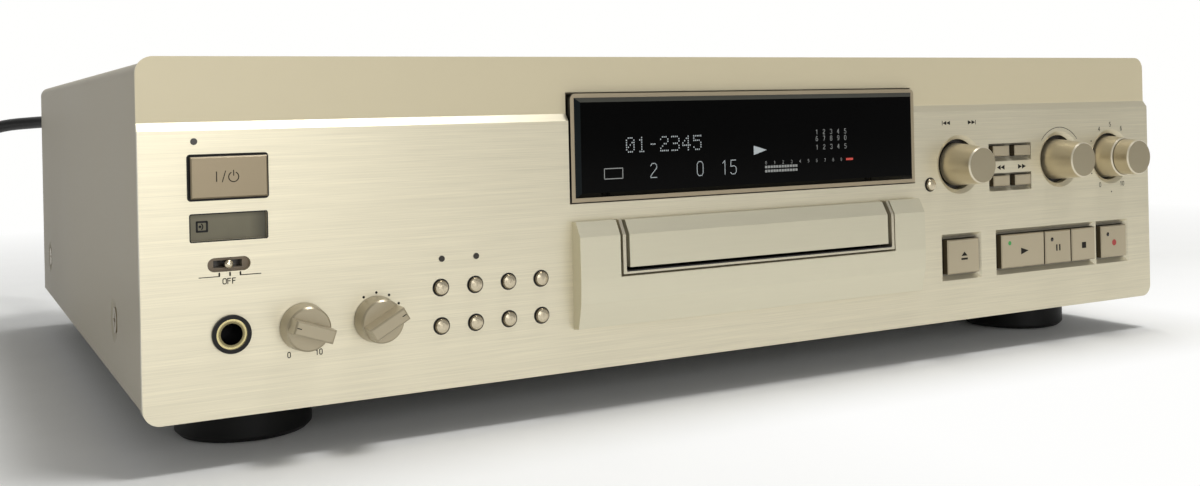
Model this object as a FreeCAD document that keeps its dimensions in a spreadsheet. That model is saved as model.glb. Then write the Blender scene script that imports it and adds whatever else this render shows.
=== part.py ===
import FreeCAD, Part
import math
import os
import re
import Sketcher

# Front-loading minidisc deck, in millimetres.
# Every piece is drawn in the front panel's own frame: X to the right seen from the front, Y from the
# panel's face towards the back, Z up from the panel's lower edge. Its Placement then moves that frame so
# that the origin is under the middle of the whole deck, on the surface that it stands on.

V = FreeCAD.Vector
doc = FreeCAD.newDocument("minidisc_deck")
sheet = doc.addObject("Spreadsheet::Sheet", "Sizes")

SIZES = {
    # Front panel: a thick extrusion, its upper band set back behind a bevel
    "panel_width": 430.0,
    "panel_height": 106.5,
    "panel_depth": 6.0,
    "panel_corner": 5.0,
    "band_foot": 84.7,
    "bevel_rise": 2.5,
    "bevel_depth": 1.9,
    # Case and feet
    "lift": 14.7,
    "case_depth": 315.1,
    "cover_gauge": 1.2,
    "cover_bottom": 4.4,
    "cover_top": 105.1,
    "cover_corner": 4.0,
    "pan_gauge": 1.2,
    "pan_flange": 28.0,
    "rear_gauge": 1.2,
    "fit_gap": 0.2,
    "foot_radius": 22.0,
    "foot_spread": 176.7,
    "foot_front": 45.5,
    "foot_rear": 272.0,
    "pad_radius": 17.0,
    "pad_thick": 1.5,
    "vent_pitch": 9.0,
    "vent_width": 3.0,
    "vent_length": 42.0,
    # Case screws and the dishes that they lie in
    "screw_front": 56.7,
    "screw_rear": 280.4,
    "screw_level": 23.3,
    "dish_radius": 7.5,
    "dish_floor": 5.0,
    "dish_depth": 1.0,
    "head_radius": 4.2,
    "head_height": 0.9,
    "shank_radius": 1.5,
    "shank_gap": 0.1,
    # Display
    "display_half": 76.4,
    "display_low": 57.0,
    "display_high": 93.9,
    "display_corner": 3.0,
    "display_gap": 0.5,
    "strip_width": 1.4,
    "glass_bevel": 1.6,
    # Tray housing on the lower panel and the mouth in it
    "bulge_half": 76.3,
    "bulge_low": 14.2,
    "bulge_high": 50.6,
    "crown_rise": 2.8,
    "shoulder_rise": 5.8,
    "shoulder_level": 45.6,
    "belly_rise": 6.0,
    "belly_level": 30.9,
    "knee_rise": 5.7,
    "knee_level": 23.2,
    "toe_rise": 3.5,
    "mouth_half": 60.9,
    "mouth_low": 31.4,
    "rim_gap": 0.8,
    "rim_wall": 1.2,
    "rim_proud": 0.3,
    "door_side_gap": 1.6,
    "door_low_gap": 1.0,
    "door_back": 0.3,
    # Tray, its cartridge pocket and its rails
    "tray_half": 56.0,
    "tray_bottom": 41.0,
    "tray_top": 47.4,
    "tray_length": 118.0,
    "pocket_width": 73.0,
    "pocket_depth": 69.0,
    "pocket_sink": 5.2,
    "pocket_front": 8.0,
    "window_width": 24.0,
    "window_length": 46.0,
    "finger_radius": 11.0,
    "rail_gap": 0.3,
    # Rack and gear train that drive the tray
    "tooth_module": 1.0,
    "gear_teeth": 18,
    "tooth_backlash": 0.2,
    "rack_line": -40.0,
    "rack_body": 4.5,
    "rack_bottom": 35.6,
    "rack_teeth": 32,
    "gear_face": 4.6,
    "gear_back": 24.0,
    "pulley_radius": 13.0,
    "pulley_height": 4.0,
    "axle_radius": 2.0,
    "running_gap": 0.06,
    "motor_across": -9.0,
    "motor_back": 66.0,
    "motor_pulley_radius": 4.0,
    "motor_radius": 12.0,
    "motor_height": 17.0,
    "belt_gap": 0.1,
    # Loader frame and disc drive
    "loader_half": 62.0,
    "loader_front": 8.0,
    "loader_back": 150.0,
    "loader_deck": 28.0,
    "loader_gauge": 2.0,
    "loader_wall_top": 50.4,
    # Keys and buttons
    "key_gap": 0.3,
    "key_flange": 1.2,
    "key_proud": 1.0,
    "key_edge": 0.4,
    "key_travel": 0.8,
    "power_across": -189.75,
    "power_level": 70.9,
    "power_width": 22.2,
    "power_height": 12.2,
    "button_radius": 2.35,
    "button_proud": 1.6,
    "button_left": -123.9,
    "button_pitch": 11.85,
    "button_upper": 32.5,
    "button_lower": 20.2,
    "clear_across": 84.9,
    "clear_level": 55.6,
    "small_key_width": 9.2,
    "small_key_height": 4.3,
    "small_key_pitch": 12.3,
    "small_key_across": 129.8,
    "small_key_upper": 67.7,
    "small_key_lower": 55.4,
    "small_key_well": 1.4,
    "deck_key_level": 25.9,
    "deck_key_height": 13.8,
    "deck_key_gap": 0.7,
    "well_bevel": 2.3,
    "well_depth": 1.8,
    "open_across": 101.3,
    "open_width": 17.2,
    "play_left": 122.6,
    "play_width": 24.8,
    "pause_width": 15.4,
    "stop_width": 14.4,
    "record_left": 182.5,
    "record_width": 16.0,
    # Timer slide, lamps and receiver window
    "timer_across": -190.0,
    "timer_level": 45.1,
    "timer_slot": 12.5,
    "timer_height": 4.2,
    "timer_throw": 3.1,
    "timer_ball": 1.3,
    "timer_proud": 2.6,
    "lamp_radius": 1.0,
    "standby_across": -199.4,
    "standby_level": 81.5,
    "mode_lamp_level": 41.7,
    "window_across": -189.75,
    "window_level": 56.2,
    "window_wide": 22.1,
    "window_high": 7.7,
    "window_sink": 1.2,
    # Headphone jack
    "jack_across": -189.8,
    "jack_level": 24.5,
    "jack_nut_radius": 5.7,
    "jack_bush_radius": 4.5,
    "jack_bore": 3.2,
    "jack_bore_length": 14.0,
    # Rotary controls
    "phone_across": -168.4,
    "phone_level": 24.6,
    "input_across": -145.4,
    "small_knob_foot": 7.25,
    "small_knob_face": 6.7,
    "small_knob_disc": 7.0,
    "small_knob_reach": 13.5,
    "grip_width": 4.2,
    "jog_across": 101.0,
    "digital_across": 158.8,
    "analog_across": 190.7,
    "knob_level": 63.1,
    "knob_dish": 12.0,
    "knob_hole": 10.25,
    "knob_dish_depth": 1.2,
    "knob_foot": 8.7,
    "knob_face": 7.35,
    "knob_reach": 12.8,
    "knob_sink": 2.4,
    "knob_edge": 0.5,
    "ring_foot": 9.2,
    "ring_face": 8.4,
    "ring_reach": 7.4,
    "analog_reach": 14.8,
    "analog_gap": 0.3,
    "shaft_radius": 3.0,
    "inner_shaft": 1.6,
    "pot_size": 16.0,
    "pot_front": 8.4,
    # Boards
    "board_front": 18.0,
    "board_gauge": 1.6,
    "main_board_level": 13.0,
    # Rear sockets
    "jack_reach": 9.5,
    "rca_radius": 4.15,
    "rca_pitch": 14.0,
    "rca_across": 150.0,
    "rca_level": 32.0,
    "rca_bore": 1.7,
    "optical_across": 92.0,
    "optical_pitch": 19.0,
    "optical_size": 10.0,
    # Mains cord
    "cord_radius": 3.3,
    "cord_across": -186.0,
    "cord_level": 88.2,
    "gland_length": 24.0,
    "gland_radius": 6.4,
    "turn_pitch": 7.3,
    "coil_middle": 37.5,
    "coil_across": -306.0,
    "coil_back": 262.0,
    "plug_length": 34.0,
    "plug_width": 25.0,
    "blade_length": 17.0,
    "blade_width": 6.3,
    "blade_thick": 1.5,
    "blade_spread": 12.7,
}

for row, (name, value) in enumerate(SIZES.items(), start=1):
    sheet.set(f"A{row}", name)
    sheet.set(f"B{row}", str(value))
    sheet.setAlias(f"B{row}", name)
doc.recompute()

# How far the panel's face lies in front of the deck's middle
FRONT = "(analog_reach - case_depth - jack_reach) / 2"


def mm(text):
    """The value of an expression on the sizes."""
    return float(sheet.evalExpression(str(text)))


def linked(text):
    """The expression with each size named through the sheet."""
    return re.sub(r"[a-z]\w*", lambda word: f"Sizes.{word[0]}" if word[0] in SIZES else word[0], str(text))


def place(piece, x="0", y="0", z="0"):
    """Moves a piece from the panel's frame to the deck's."""
    piece.setExpression("Placement.Base.x", linked(x))
    piece.setExpression("Placement.Base.y", linked(f"{FRONT} + {y}"))
    piece.setExpression("Placement.Base.z", linked(f"lift + {z}"))
    return piece


def body(label, x="0", y="0", z="0"):
    """An empty body, placed by a point of the panel's frame."""
    piece = doc.addObject("PartDesign::Body", label)
    piece.Label = label
    return place(piece, x, y, z)


PLANES = {"front": "XZ_Plane", "side": "YZ_Plane", "top": "XY_Plane"}


def sketch(piece, plane, offset="0"):
    """A sketch on one of the body's origin planes, moved along the plane's normal."""
    drawing = piece.newObject("Sketcher::SketchObject", f"{piece.Label}_sketch")
    support = [item for item in piece.Origin.OriginFeatures if item.Role == PLANES[plane]][0]
    drawing.AttachmentSupport = (support, "")
    drawing.MapMode = "FlatFace"
    drawing.setExpression("AttachmentOffset.Base.z", linked(offset))
    return drawing


def locate(drawing, geometry, point, spot):
    """Ties one point of a sketch to the origin by two bound distances."""
    for kind, text in zip(("DistanceX", "DistanceY"), spot):
        datum = drawing.addConstraint(Sketcher.Constraint(kind, -1, 1, geometry, point, mm(text)))
        drawing.setExpression(f"Constraints[{datum}]", linked(text))


def loop(drawing, corners):
    """A closed chain of straight lines through corners given as expressions."""
    spots = [V(mm(across), mm(up), 0) for across, up in corners]
    pairs = zip(spots, spots[1:] + spots[:1])
    lines = [drawing.addGeometry(Part.LineSegment(start, end), False) for start, end in pairs]
    for line, follower in zip(lines, lines[1:] + lines[:1]):
        drawing.addConstraint(Sketcher.Constraint("Coincident", line, 2, follower, 1))
    for line, corner in zip(lines, corners):
        locate(drawing, line, 1, corner)


def rectangle(drawing, left, low, right, high):
    """A rectangle from its lower left to its upper right corner."""
    loop(drawing, ((left, low), (right, low), (right, high), (left, high)))


def centred(across, level, width, height, grow="0"):
    """The four sides of a rectangle about its centre, each moved out by grow."""
    half_width = f"(({width}) / 2 + {grow})"
    half_height = f"(({height}) / 2 + {grow})"
    return (f"{across} - {half_width}", f"{level} - {half_height}",
            f"{across} + {half_width}", f"{level} + {half_height}")


def circle(drawing, across, level, radius):
    """A circle about a located centre."""
    ring = drawing.addGeometry(Part.Circle(V(mm(across), mm(level), 0), V(0, 0, 1), mm(radius)), False)
    locate(drawing, ring, 3, (across, level))
    datum = drawing.addConstraint(Sketcher.Constraint("Radius", ring, mm(radius)))
    drawing.setExpression(f"Constraints[{datum}]", linked(radius))


def pad(piece, drawing, length, backward=False, middle=False):
    """Thickens a sketch along its normal, against it, or both ways."""
    feature = piece.newObject("PartDesign::Pad", f"{piece.Label}_pad")
    feature.Profile = drawing
    feature.setExpression("Length", linked(length))
    feature.Reversed = backward
    feature.Midplane = middle
    drawing.Visibility = False
    return feature


def pocket(piece, drawing, length, backward=False, middle=False):
    """Cuts a sketch against its normal, along it, or both ways, and makes sure that it cut something."""
    doc.recompute()
    before = piece.Shape.Volume
    feature = piece.newObject("PartDesign::Pocket", f"{piece.Label}_pocket")
    feature.Profile = drawing
    feature.setExpression("Length", linked(length))
    feature.Reversed = backward
    feature.Midplane = middle
    doc.recompute()
    if piece.Shape.Volume > before - 0.001:
        raise RuntimeError(f"a pocket of {piece.Label} cuts nothing")
    return feature


def slab(piece, sides, front, back):
    """A rectangular plate that faces the front, between two depths."""
    drawing = sketch(piece, "front", f"-({front})")
    rectangle(drawing, *sides)
    return pad(piece, drawing, f"({back}) - ({front})", backward=True)


def disc(piece, across, level, radius, front, back):
    """A round plate that faces the front, between two depths."""
    drawing = sketch(piece, "front", f"-({front})")
    circle(drawing, across, level, radius)
    return pad(piece, drawing, f"({back}) - ({front})", backward=True)


def cut_slab(piece, sides, front, back):
    """A rectangular cut from the front, between two depths."""
    drawing = sketch(piece, "front", f"-({front})")
    rectangle(drawing, *sides)
    return pocket(piece, drawing, f"({back}) - ({front})")


def cut_discs(piece, holes, front, back):
    """Round cuts from the front, between two depths."""
    drawing = sketch(piece, "front", f"-({front})")
    for across, level, radius in holes:
        circle(drawing, across, level, radius)
    return pocket(piece, drawing, f"({back}) - ({front})")


def sunk_loft(piece, draw_mouth, draw_floor, depth):
    """A sloped well in the panel's face, between an outline there and a smaller one at its depth."""
    doc.recompute()
    before = piece.Shape.Volume
    mouth = sketch(piece, "front")
    draw_mouth(mouth)
    floor = sketch(piece, "front", f"-({depth})")
    draw_floor(floor)
    feature = piece.newObject("PartDesign::SubtractiveLoft", f"{piece.Label}_well")
    feature.Profile = mouth
    feature.Sections = [floor]
    feature.Ruled = True
    doc.recompute()
    if piece.Shape.Volume > before - 0.001:
        raise RuntimeError(f"a well of {piece.Label} cuts nothing")
    return feature


def turned(piece, corners):
    """A body of revolution about its own Y axis, from radius and depth pairs."""
    drawing = sketch(piece, "top")
    loop(drawing, corners)
    feature = piece.newObject("PartDesign::Revolution", f"{piece.Label}_turned")
    feature.Profile = drawing
    feature.ReferenceAxis = (drawing, ["V_Axis"])
    feature.Angle = 360
    return feature


def edges_where(piece, test):
    """The names of a shape's edges that pass a test on their two ends."""
    names = []
    for number, edge in enumerate(piece.Shape.Edges, start=1):
        ends = [vertex.Point for vertex in edge.Vertexes]
        if len(ends) == 2 and test(*ends):
            names.append(f"Edge{number}")
    return names


def soften(piece, kind, size, test):
    """A fillet or chamfer on the edges of the last feature that pass a test."""
    doc.recompute()
    base = piece.Tip
    names = edges_where(base, test)
    if not names:
        raise RuntimeError(f"no edge of {piece.Label} to soften")
    feature = piece.newObject(f"PartDesign::{kind}", f"{piece.Label}_{kind.lower()}")
    feature.Base = (base, names)
    feature.setExpression("Radius" if kind == "Fillet" else "Size", linked(size))
    doc.recompute()
    return feature


def near(one, other):
    """Whether two lengths are the same."""
    return abs(one - other) < 0.01


def block(left, right, front, back, low, high):
    """A plain box between six planes of the panel's frame."""
    piece = doc.addObject("Part::Box", "block")
    piece.setExpression("Length", linked(f"({right}) - ({left})"))
    piece.setExpression("Width", linked(f"({back}) - ({front})"))
    piece.setExpression("Height", linked(f"({high}) - ({low})"))
    return place(piece, left, f"({front})", low)


TURNS = {"x": FreeCAD.Rotation(V(0, 1, 0), 90), "y": FreeCAD.Rotation(V(1, 0, 0), -90),
         "z": FreeCAD.Rotation()}


def rod(way, radius, length, x, y, z):
    """A cylinder that runs along one axis from a point of the panel's frame."""
    piece = doc.addObject("Part::Cylinder", "rod")
    piece.setExpression("Radius", linked(radius))
    piece.setExpression("Height", linked(length))
    piece.Placement.Rotation = TURNS[way]
    return place(piece, x, f"({y})", z)


def joined(label, pieces):
    """Pieces that touch or overlap, as one solid."""
    piece = doc.addObject("Part::MultiFuse", label)
    piece.Label = label
    piece.Shapes = pieces
    return piece


def carved(label, base, tool):
    """A solid less another."""
    piece = doc.addObject("Part::Cut", label)
    piece.Label = label
    piece.Base = base
    piece.Tool = tool
    return piece


def grouped(label, pieces):
    """Separate solids that share one name."""
    piece = doc.addObject("Part::Compound", label)
    piece.Label = label
    piece.Links = pieces
    return piece


def facing(label, sides, front, back):
    """A body that is one plate facing the front."""
    piece = body(label)
    slab(piece, sides, front, back)
    return piece


# Keys: where each one stands and how large its cap is
KEYS = {
    "power_button": ("power_across", "power_level", "power_width", "power_height"),
    "skip_back_key": ("small_key_across - small_key_pitch / 2", "small_key_upper", "small_key_width",
                      "small_key_height"),
    "skip_ahead_key": ("small_key_across + small_key_pitch / 2", "small_key_upper", "small_key_width",
                       "small_key_height"),
    "search_back_key": ("small_key_across - small_key_pitch / 2", "small_key_lower", "small_key_width",
                        "small_key_height"),
    "search_ahead_key": ("small_key_across + small_key_pitch / 2", "small_key_lower", "small_key_width",
                         "small_key_height"),
    "open_close_key": ("open_across", "deck_key_level", "open_width", "deck_key_height"),
    "play_key": ("play_left + play_width / 2", "deck_key_level", "play_width", "deck_key_height"),
    "pause_key": ("play_left + play_width + deck_key_gap + pause_width / 2", "deck_key_level",
                  "pause_width", "deck_key_height"),
    "stop_key": ("play_left + play_width + pause_width + 2 * deck_key_gap + stop_width / 2",
                 "deck_key_level", "stop_width", "deck_key_height"),
    "record_key": ("record_left + record_width / 2", "deck_key_level", "record_width", "deck_key_height"),
}
BUTTONS = {}
for number, name in enumerate(("memory", "filter", "scroll", "display", "fader", "play_mode", "repeat",
                               "time")):
    BUTTONS[f"{name}_button"] = (f"button_left + {number % 4} * button_pitch",
                                 "button_lower" if number > 3 else "button_upper")
BUTTONS["clear_button"] = ("clear_across", "clear_level")
LAMPS = (("standby_across", "standby_level"), ("button_left + 0.5", "mode_lamp_level"),
         ("button_left + 12.4", "mode_lamp_level"))
LARGE_KNOBS = ("jog_across", "digital_across", "analog_across")
SMALL_KNOBS = ("phone_across", "input_across")
PIN_SPOTS = [(side, level) for side in (-70, 70) for level in (20, 44)]

# Front panel
panel = body("front_panel")
slab(panel, ("-panel_width / 2", "0", "panel_width / 2", "panel_height"), "0", "panel_depth")
soften(panel, "Fillet", "panel_corner",
       lambda a, b: near(abs(a.x), mm("panel_width") / 2) and near(a.x, b.x) and near(a.z, b.z))
step = sketch(panel, "side")
loop(step, (("0", "band_foot"), ("bevel_depth", "band_foot + bevel_rise"),
            ("bevel_depth", "panel_height + 1"), ("-1", "panel_height + 1"), ("-1", "band_foot")))
pocket(panel, step, "panel_width + 2", middle=True)
rebate = sketch(panel, "front", "-(panel_depth / 2)")
loop(rebate, (("-panel_width / 2 - 1", "cover_bottom - fit_gap"),
              ("-panel_width / 2 + cover_gauge", "cover_bottom - fit_gap"),
              ("-panel_width / 2 + cover_gauge", "cover_top - cover_gauge"),
              ("panel_width / 2 - cover_gauge", "cover_top - cover_gauge"),
              ("panel_width / 2 - cover_gauge", "cover_bottom - fit_gap"),
              ("panel_width / 2 + 1", "cover_bottom - fit_gap"),
              ("panel_width / 2 + 1", "panel_height + 1"), ("-panel_width / 2 - 1", "panel_height + 1")))
pocket(panel, rebate, "panel_depth")
cut_slab(panel, ("-display_half - display_gap", "display_low - display_gap", "display_half + display_gap",
                 "display_high + display_gap"), "-1", "panel_depth + 1")
cut_slab(panel, ("-mouth_half + 1.6", "mouth_low + 1.3", "mouth_half - 1.6", "bulge_high - 0.6"),
         "-1", "panel_depth + 1")
through = sketch(panel, "front", "1")
rectangle(through, *centred("power_across", "power_level", "power_width", "power_height", "key_gap"))
rectangle(through, *centred("window_across", "window_level", "window_wide", "window_high"))
for name in ("skip_back_key", "skip_ahead_key", "search_back_key", "search_ahead_key", "open_close_key",
             "record_key"):
    rectangle(through, *centred(*KEYS[name], "key_gap"))
rectangle(through, "play_left - key_gap", "deck_key_level - deck_key_height / 2 - key_gap",
          "play_left + play_width + pause_width + stop_width + 2 * deck_key_gap + key_gap",
          "deck_key_level + deck_key_height / 2 + key_gap")
rectangle(through, *centred("timer_across", "timer_level", "2 * timer_throw + 2.2", "2.2"))
for across, level in BUTTONS.values():
    circle(through, across, level, "button_radius + key_gap")
for across, level in LAMPS:
    circle(through, across, level, "lamp_radius")
circle(through, "jack_across", "jack_level", "jack_bush_radius")
for across in SMALL_KNOBS:
    circle(through, across, "phone_level", "shaft_radius + key_gap")
for across in LARGE_KNOBS:
    circle(through, across, "knob_level", "shaft_radius + key_gap")
for across, level in PIN_SPOTS:
    circle(through, across, level, "1.5")
pocket(panel, through, "panel_depth + 2")
cut_slab(panel, centred("timer_across", "timer_level", "timer_slot - timer_height", "timer_height"), "-1", "2")
cut_discs(panel, [(f"timer_across + {side} * (timer_slot - timer_height) / 2", "timer_level",
                   "timer_height / 2") for side in (-1, 1)], "-1", "2")
cut_discs(panel, [(across, "knob_level", "knob_hole") for across in LARGE_KNOBS], "-1",
          "knob_dish_depth + knob_sink")
for across in LARGE_KNOBS:
    sunk_loft(panel, lambda drawing: circle(drawing, across, "knob_level", "knob_dish"),
              lambda drawing: circle(drawing, across, "knob_level", "knob_hole"), "knob_dish_depth")


def key_well(left, right, level, height, bevel):
    """A well with sloped walls round a row of keys."""
    low = f"{level} - {height} / 2"
    high = f"{level} + {height} / 2"
    sunk_loft(panel,
              lambda drawing: rectangle(drawing, f"{left} - {bevel}", f"{low} - {bevel} - 0.3",
                                        f"{right} + {bevel}", f"{high} + {bevel}"),
              lambda drawing: rectangle(drawing, f"{left} - 0.8", f"{low} - 0.8", f"{right} + 0.8",
                                        f"{high} + 0.8"), "well_depth")


PLAY_END = "play_left + play_width + pause_width + stop_width + 2 * deck_key_gap"
key_well("open_across - open_width / 2", "open_across + open_width / 2", "deck_key_level",
         "deck_key_height", "well_bevel")
key_well("play_left", f"{PLAY_END} - 1.5", "deck_key_level", "deck_key_height", "well_bevel")
key_well("record_left", "record_left + record_width", "deck_key_level", "deck_key_height", "well_bevel")
for level in ("small_key_upper", "small_key_lower"):
    key_well("small_key_across - small_key_pitch / 2 - small_key_width / 2",
             "small_key_across + small_key_pitch / 2 + small_key_width / 2", level, "small_key_height",
             "small_key_well - 0.4")

# Base pan with upturned sides, slotted over and under the warm parts
pan = body("chassis_base")
PAN_HALF = "(panel_width / 2 - cover_gauge - dish_depth)"
PAN_LOW = "(cover_bottom - 2 * pan_gauge)"
PAN_BACK = "(case_depth - rear_gauge)"
slab(pan, (f"-{PAN_HALF}", PAN_LOW, PAN_HALF, "pan_flange"), "panel_depth", PAN_BACK)
inside = sketch(pan, "top", "pan_flange + 1")
rectangle(inside, f"-{PAN_HALF} + pan_gauge", "panel_depth + pan_gauge", f"{PAN_HALF} - pan_gauge",
          f"{PAN_BACK} - pan_gauge")
pocket(pan, inside, f"pan_flange + 1 - {PAN_LOW} - pan_gauge")
for front, back in (("0", "panel_depth + pan_gauge + 0.1"), (f"{PAN_BACK} - pan_gauge - 0.1", "case_depth")):
    cut_slab(pan, (f"-{PAN_HALF} + pan_gauge", "bulge_low - 2", f"{PAN_HALF} - pan_gauge", "pan_flange + 1"),
             front, back)
slots = sketch(pan, "top", "cover_bottom")
for column in (-165, -60, 60, 165):
    for number in range(9):
        rectangle(slots, f"{column} - vent_length / 2", f"130 + {number} * vent_pitch",
                  f"{column} + vent_length / 2", f"130 + {number} * vent_pitch + vent_width")
pocket(pan, slots, "3 * pan_gauge")
SCREW_SPOTS = [(side, across) for side in (-1, 1) for across in ("screw_front", "screw_rear")]
bores = sketch(pan, "side")
for across in ("screw_front", "screw_rear"):
    circle(bores, across, "screw_level", "shank_radius + shank_gap")
pocket(pan, bores, "panel_width", middle=True)

# Wrap-round cover with two pressed dishes for screws on each side
cover = body("top_cover")
slab(cover, ("-panel_width / 2", "cover_bottom", "panel_width / 2", "cover_top"),
     "panel_depth / 2 + fit_gap", "case_depth")
soften(cover, "Fillet", "cover_corner",
       lambda a, b: near(a.x, b.x) and near(a.z, b.z) and near(a.z, mm("cover_top")))
hollow = sketch(cover, "front", "1")
rectangle(hollow, "-panel_width / 2 + cover_gauge", "cover_bottom - 1", "panel_width / 2 - cover_gauge",
          "cover_top - cover_gauge")
pocket(cover, hollow, "case_depth + 2")
shell = [cover]
cups = []
for side, across in SCREW_SPOTS:
    for parts, radius, floor, depth, start in (
            (shell, "dish_radius + 1", "dish_floor + 1", "dish_depth", "cover_gauge"),
            (cups, "dish_radius", "dish_floor", "dish_depth", "0")):
        cone = doc.addObject("Part::Cone", "dish")
        cone.setExpression("Radius1", linked(radius))
        cone.setExpression("Radius2", linked(floor))
        cone.setExpression("Height", linked(depth))
        cone.Placement.Rotation = FreeCAD.Rotation(V(0, 1, 0), -90 * side)
        parts.append(place(cone, f"{side} * (panel_width / 2 - {start})", across, "screw_level"))
    cups.append(rod("x", "shank_radius + shank_gap", "12", f"{side} * panel_width / 2 - 6", across,
                    "screw_level"))
cover.Label = "cover_sheet"
top_cover = carved("top_cover", joined("dished_cover", shell), grouped("dishes", cups))

# Case screws: four in the dishes and three through the rear panel
screws = []
for side, across in SCREW_SPOTS:
    face = "(panel_width / 2 - dish_depth)"
    head = rod("x", "head_radius", "head_height", f"{side} * ({face} + head_height / 2) - head_height / 2",
               across, "screw_level")
    shank = rod("x", "shank_radius", "9", f"{side} * ({face} - 4.5) - 4.5", across, "screw_level")
    cross = grouped("cross", [
        block(f"{side} * ({face} + head_height) - 0.4", f"{side} * ({face} + head_height) + 0.4",
              f"{across} - {long} / 2", f"{across} + {long} / 2", f"screw_level - {tall} / 2",
              f"screw_level + {tall} / 2") for long, tall in (("4.4", "1"), ("1", "4.4"))])
    screws.append(carved("screw", joined("screw_blank", [head, shank]), cross))
REAR_SCREWS = ("-150", "0", "180")
for across in REAR_SCREWS:
    head = rod("y", "3.2", "2", across, "case_depth", "cover_bottom + 5")
    shank = rod("y", "shank_radius", "9", across, "case_depth - 9", "cover_bottom + 5")
    cross = grouped("cross", [
        block(f"{across} - {long} / 2", f"{across} + {long} / 2", "case_depth + 1.2", "case_depth + 3",
              f"cover_bottom + 5 - {tall} / 2", f"cover_bottom + 5 + {tall} / 2")
        for long, tall in (("4.4", "1"), ("1", "4.4"))])
    screws.append(carved("screw", joined("screw_blank", [head, shank]), cross))
grouped("case_screws", screws)
cut_discs(pan, [(across, "cover_bottom + 5", "shank_radius + shank_gap") for across in REAR_SCREWS],
          f"{PAN_BACK} - 4", "case_depth")

# Feet with a pad let into each
feet = []
pads = []
for side in (-1, 1):
    for back in ("foot_front", "foot_rear"):
        foot = body("foot", f"{side} * foot_spread", f"({back})", "0")
        outline = sketch(foot, "side")
        loop(outline, (("0", "-lift + 1.5"), ("pad_radius", "-lift + 1.5"), ("pad_radius", "-lift + 0.5"),
                       ("foot_radius - 1.5", "-lift + 0.5"), ("foot_radius", "-lift + 2"),
                       ("foot_radius", "0"), ("foot_radius - 3", PAN_LOW), ("0", PAN_LOW)))
        feature = foot.newObject("PartDesign::Revolution", "foot_turned")
        feature.Profile = outline
        feature.ReferenceAxis = (outline, ["V_Axis"])
        feature.Angle = 360
        feet.append(foot)
        pads.append(rod("z", "pad_radius - 0.1", "pad_thick", f"{side} * foot_spread", back, "-lift"))
grouped("feet", feet)
grouped("foot_pads", pads)

# Rear panel with its sockets
rear = body("rear_panel")
slab(rear, ("-panel_width / 2 + cover_gauge", "cover_bottom", "panel_width / 2 - cover_gauge",
            "cover_top - cover_gauge"), PAN_BACK, "case_depth")
RCA_SPOTS = [(f"rca_across + {column} * rca_pitch", f"rca_level + {tier} * rca_pitch")
             for column in (0, 1.5) for tier in (0, 1)] + [("rca_across - 2 * rca_pitch", "rca_level")]
OPTICAL_SPOTS = ("optical_across", "optical_across - optical_pitch")
holes = [(across, level, "5") for across, level in RCA_SPOTS]
holes += [(across, "cover_bottom + 5", "shank_radius + shank_gap") for across in REAR_SCREWS]
holes.append(("cord_across", "cord_level", "gland_radius"))
cut_discs(rear, holes, f"{PAN_BACK} - 1", "case_depth + 1")
windows = sketch(rear, "front", f"-({PAN_BACK} - 1)")
for across in OPTICAL_SPOTS:
    rectangle(windows, *centred(across, "rca_level", "optical_size", "optical_size"))
pocket(rear, windows, "4")

sockets = []
for across, level in RCA_SPOTS:
    collar = rod("y", "4.9", "rear_gauge + 1.6", across, PAN_BACK, level)
    barrel = rod("y", "rca_radius", "jack_reach + 2", across, "case_depth - 2", level)
    base = block(f"{across} - 5.5", f"{across} + 5.5", f"{PAN_BACK} - 11", PAN_BACK, f"{level} - 6",
                 f"{level} + 6")
    sockets.append(carved("socket", joined("socket_blank", [base, collar, barrel]),
                          rod("y", "rca_bore", "jack_reach + 3", across, "case_depth - 1", level)))
grouped("rca_jacks", sockets)
lights = []
for across in OPTICAL_SPOTS:
    base = block(f"{across} - 7", f"{across} + 7", f"{PAN_BACK} - 10", PAN_BACK, "rca_level - 7",
                 "rca_level + 7")
    snout = block(f"{across} - optical_size / 2", f"{across} + optical_size / 2", f"{PAN_BACK} - 1",
                  "case_depth + 2.4", "rca_level - optical_size / 2", "rca_level + optical_size / 2")
    flap = block(f"{across} - 3.4", f"{across} + 3.4", "case_depth + 1.2", "case_depth + 3",
                 "rca_level - 3.4", "rca_level + 3.4")
    lights.append(carved("light_socket", joined("light_blank", [base, snout]), flap))
grouped("optical_jacks", lights)

# Display: a flat frame, a bevelled glass that stands out of it, and the tube with its board behind
frame = body("display_frame")
FACE = "0.6"
slab(frame, ("-display_half", "display_low", "display_half", "display_high"), f"-{FACE}", "panel_depth")
soften(frame, "Fillet", "display_corner - 1",
       lambda a, b: near(a.x, b.x) and near(a.z, b.z) and near(a.z, mm("display_high")))
slab(frame, ("-display_half - 2", "display_low - 2", "display_half + 2", "display_high + 2"),
     "panel_depth", "panel_depth + 1")
cut_slab(frame, ("-display_half + strip_width", "display_low + strip_width", "display_half - strip_width",
                 "display_high - strip_width"), "-1", "panel_depth + 2")
glass = facing("display_glass", ("-display_half + strip_width", "display_low + strip_width",
                                 "display_half - strip_width", "display_high - strip_width"),
               f"-{FACE} - glass_bevel", "2.6")
glass_face = -mm(f"{FACE} + glass_bevel")
soften(glass, "Chamfer", "glass_bevel", lambda a, b: near(a.y, b.y) and near(a.y, glass_face))
tube = block("-68", "68", "2.6", "panel_depth + 1", "display_low + 5", "display_high - 5")
tube_board = block("-display_half", "display_half", "panel_depth + 1", "panel_depth + 2.6",
                   "display_low - 1", "display_high + 1")
chips = [block(f"{column} - 9", f"{column} + 9", "panel_depth + 2.6", "panel_depth + 4.8", "68", "82")
         for column in (-45, 0, 45)]
joined("display_module", [tube, tube_board] + chips)

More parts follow.
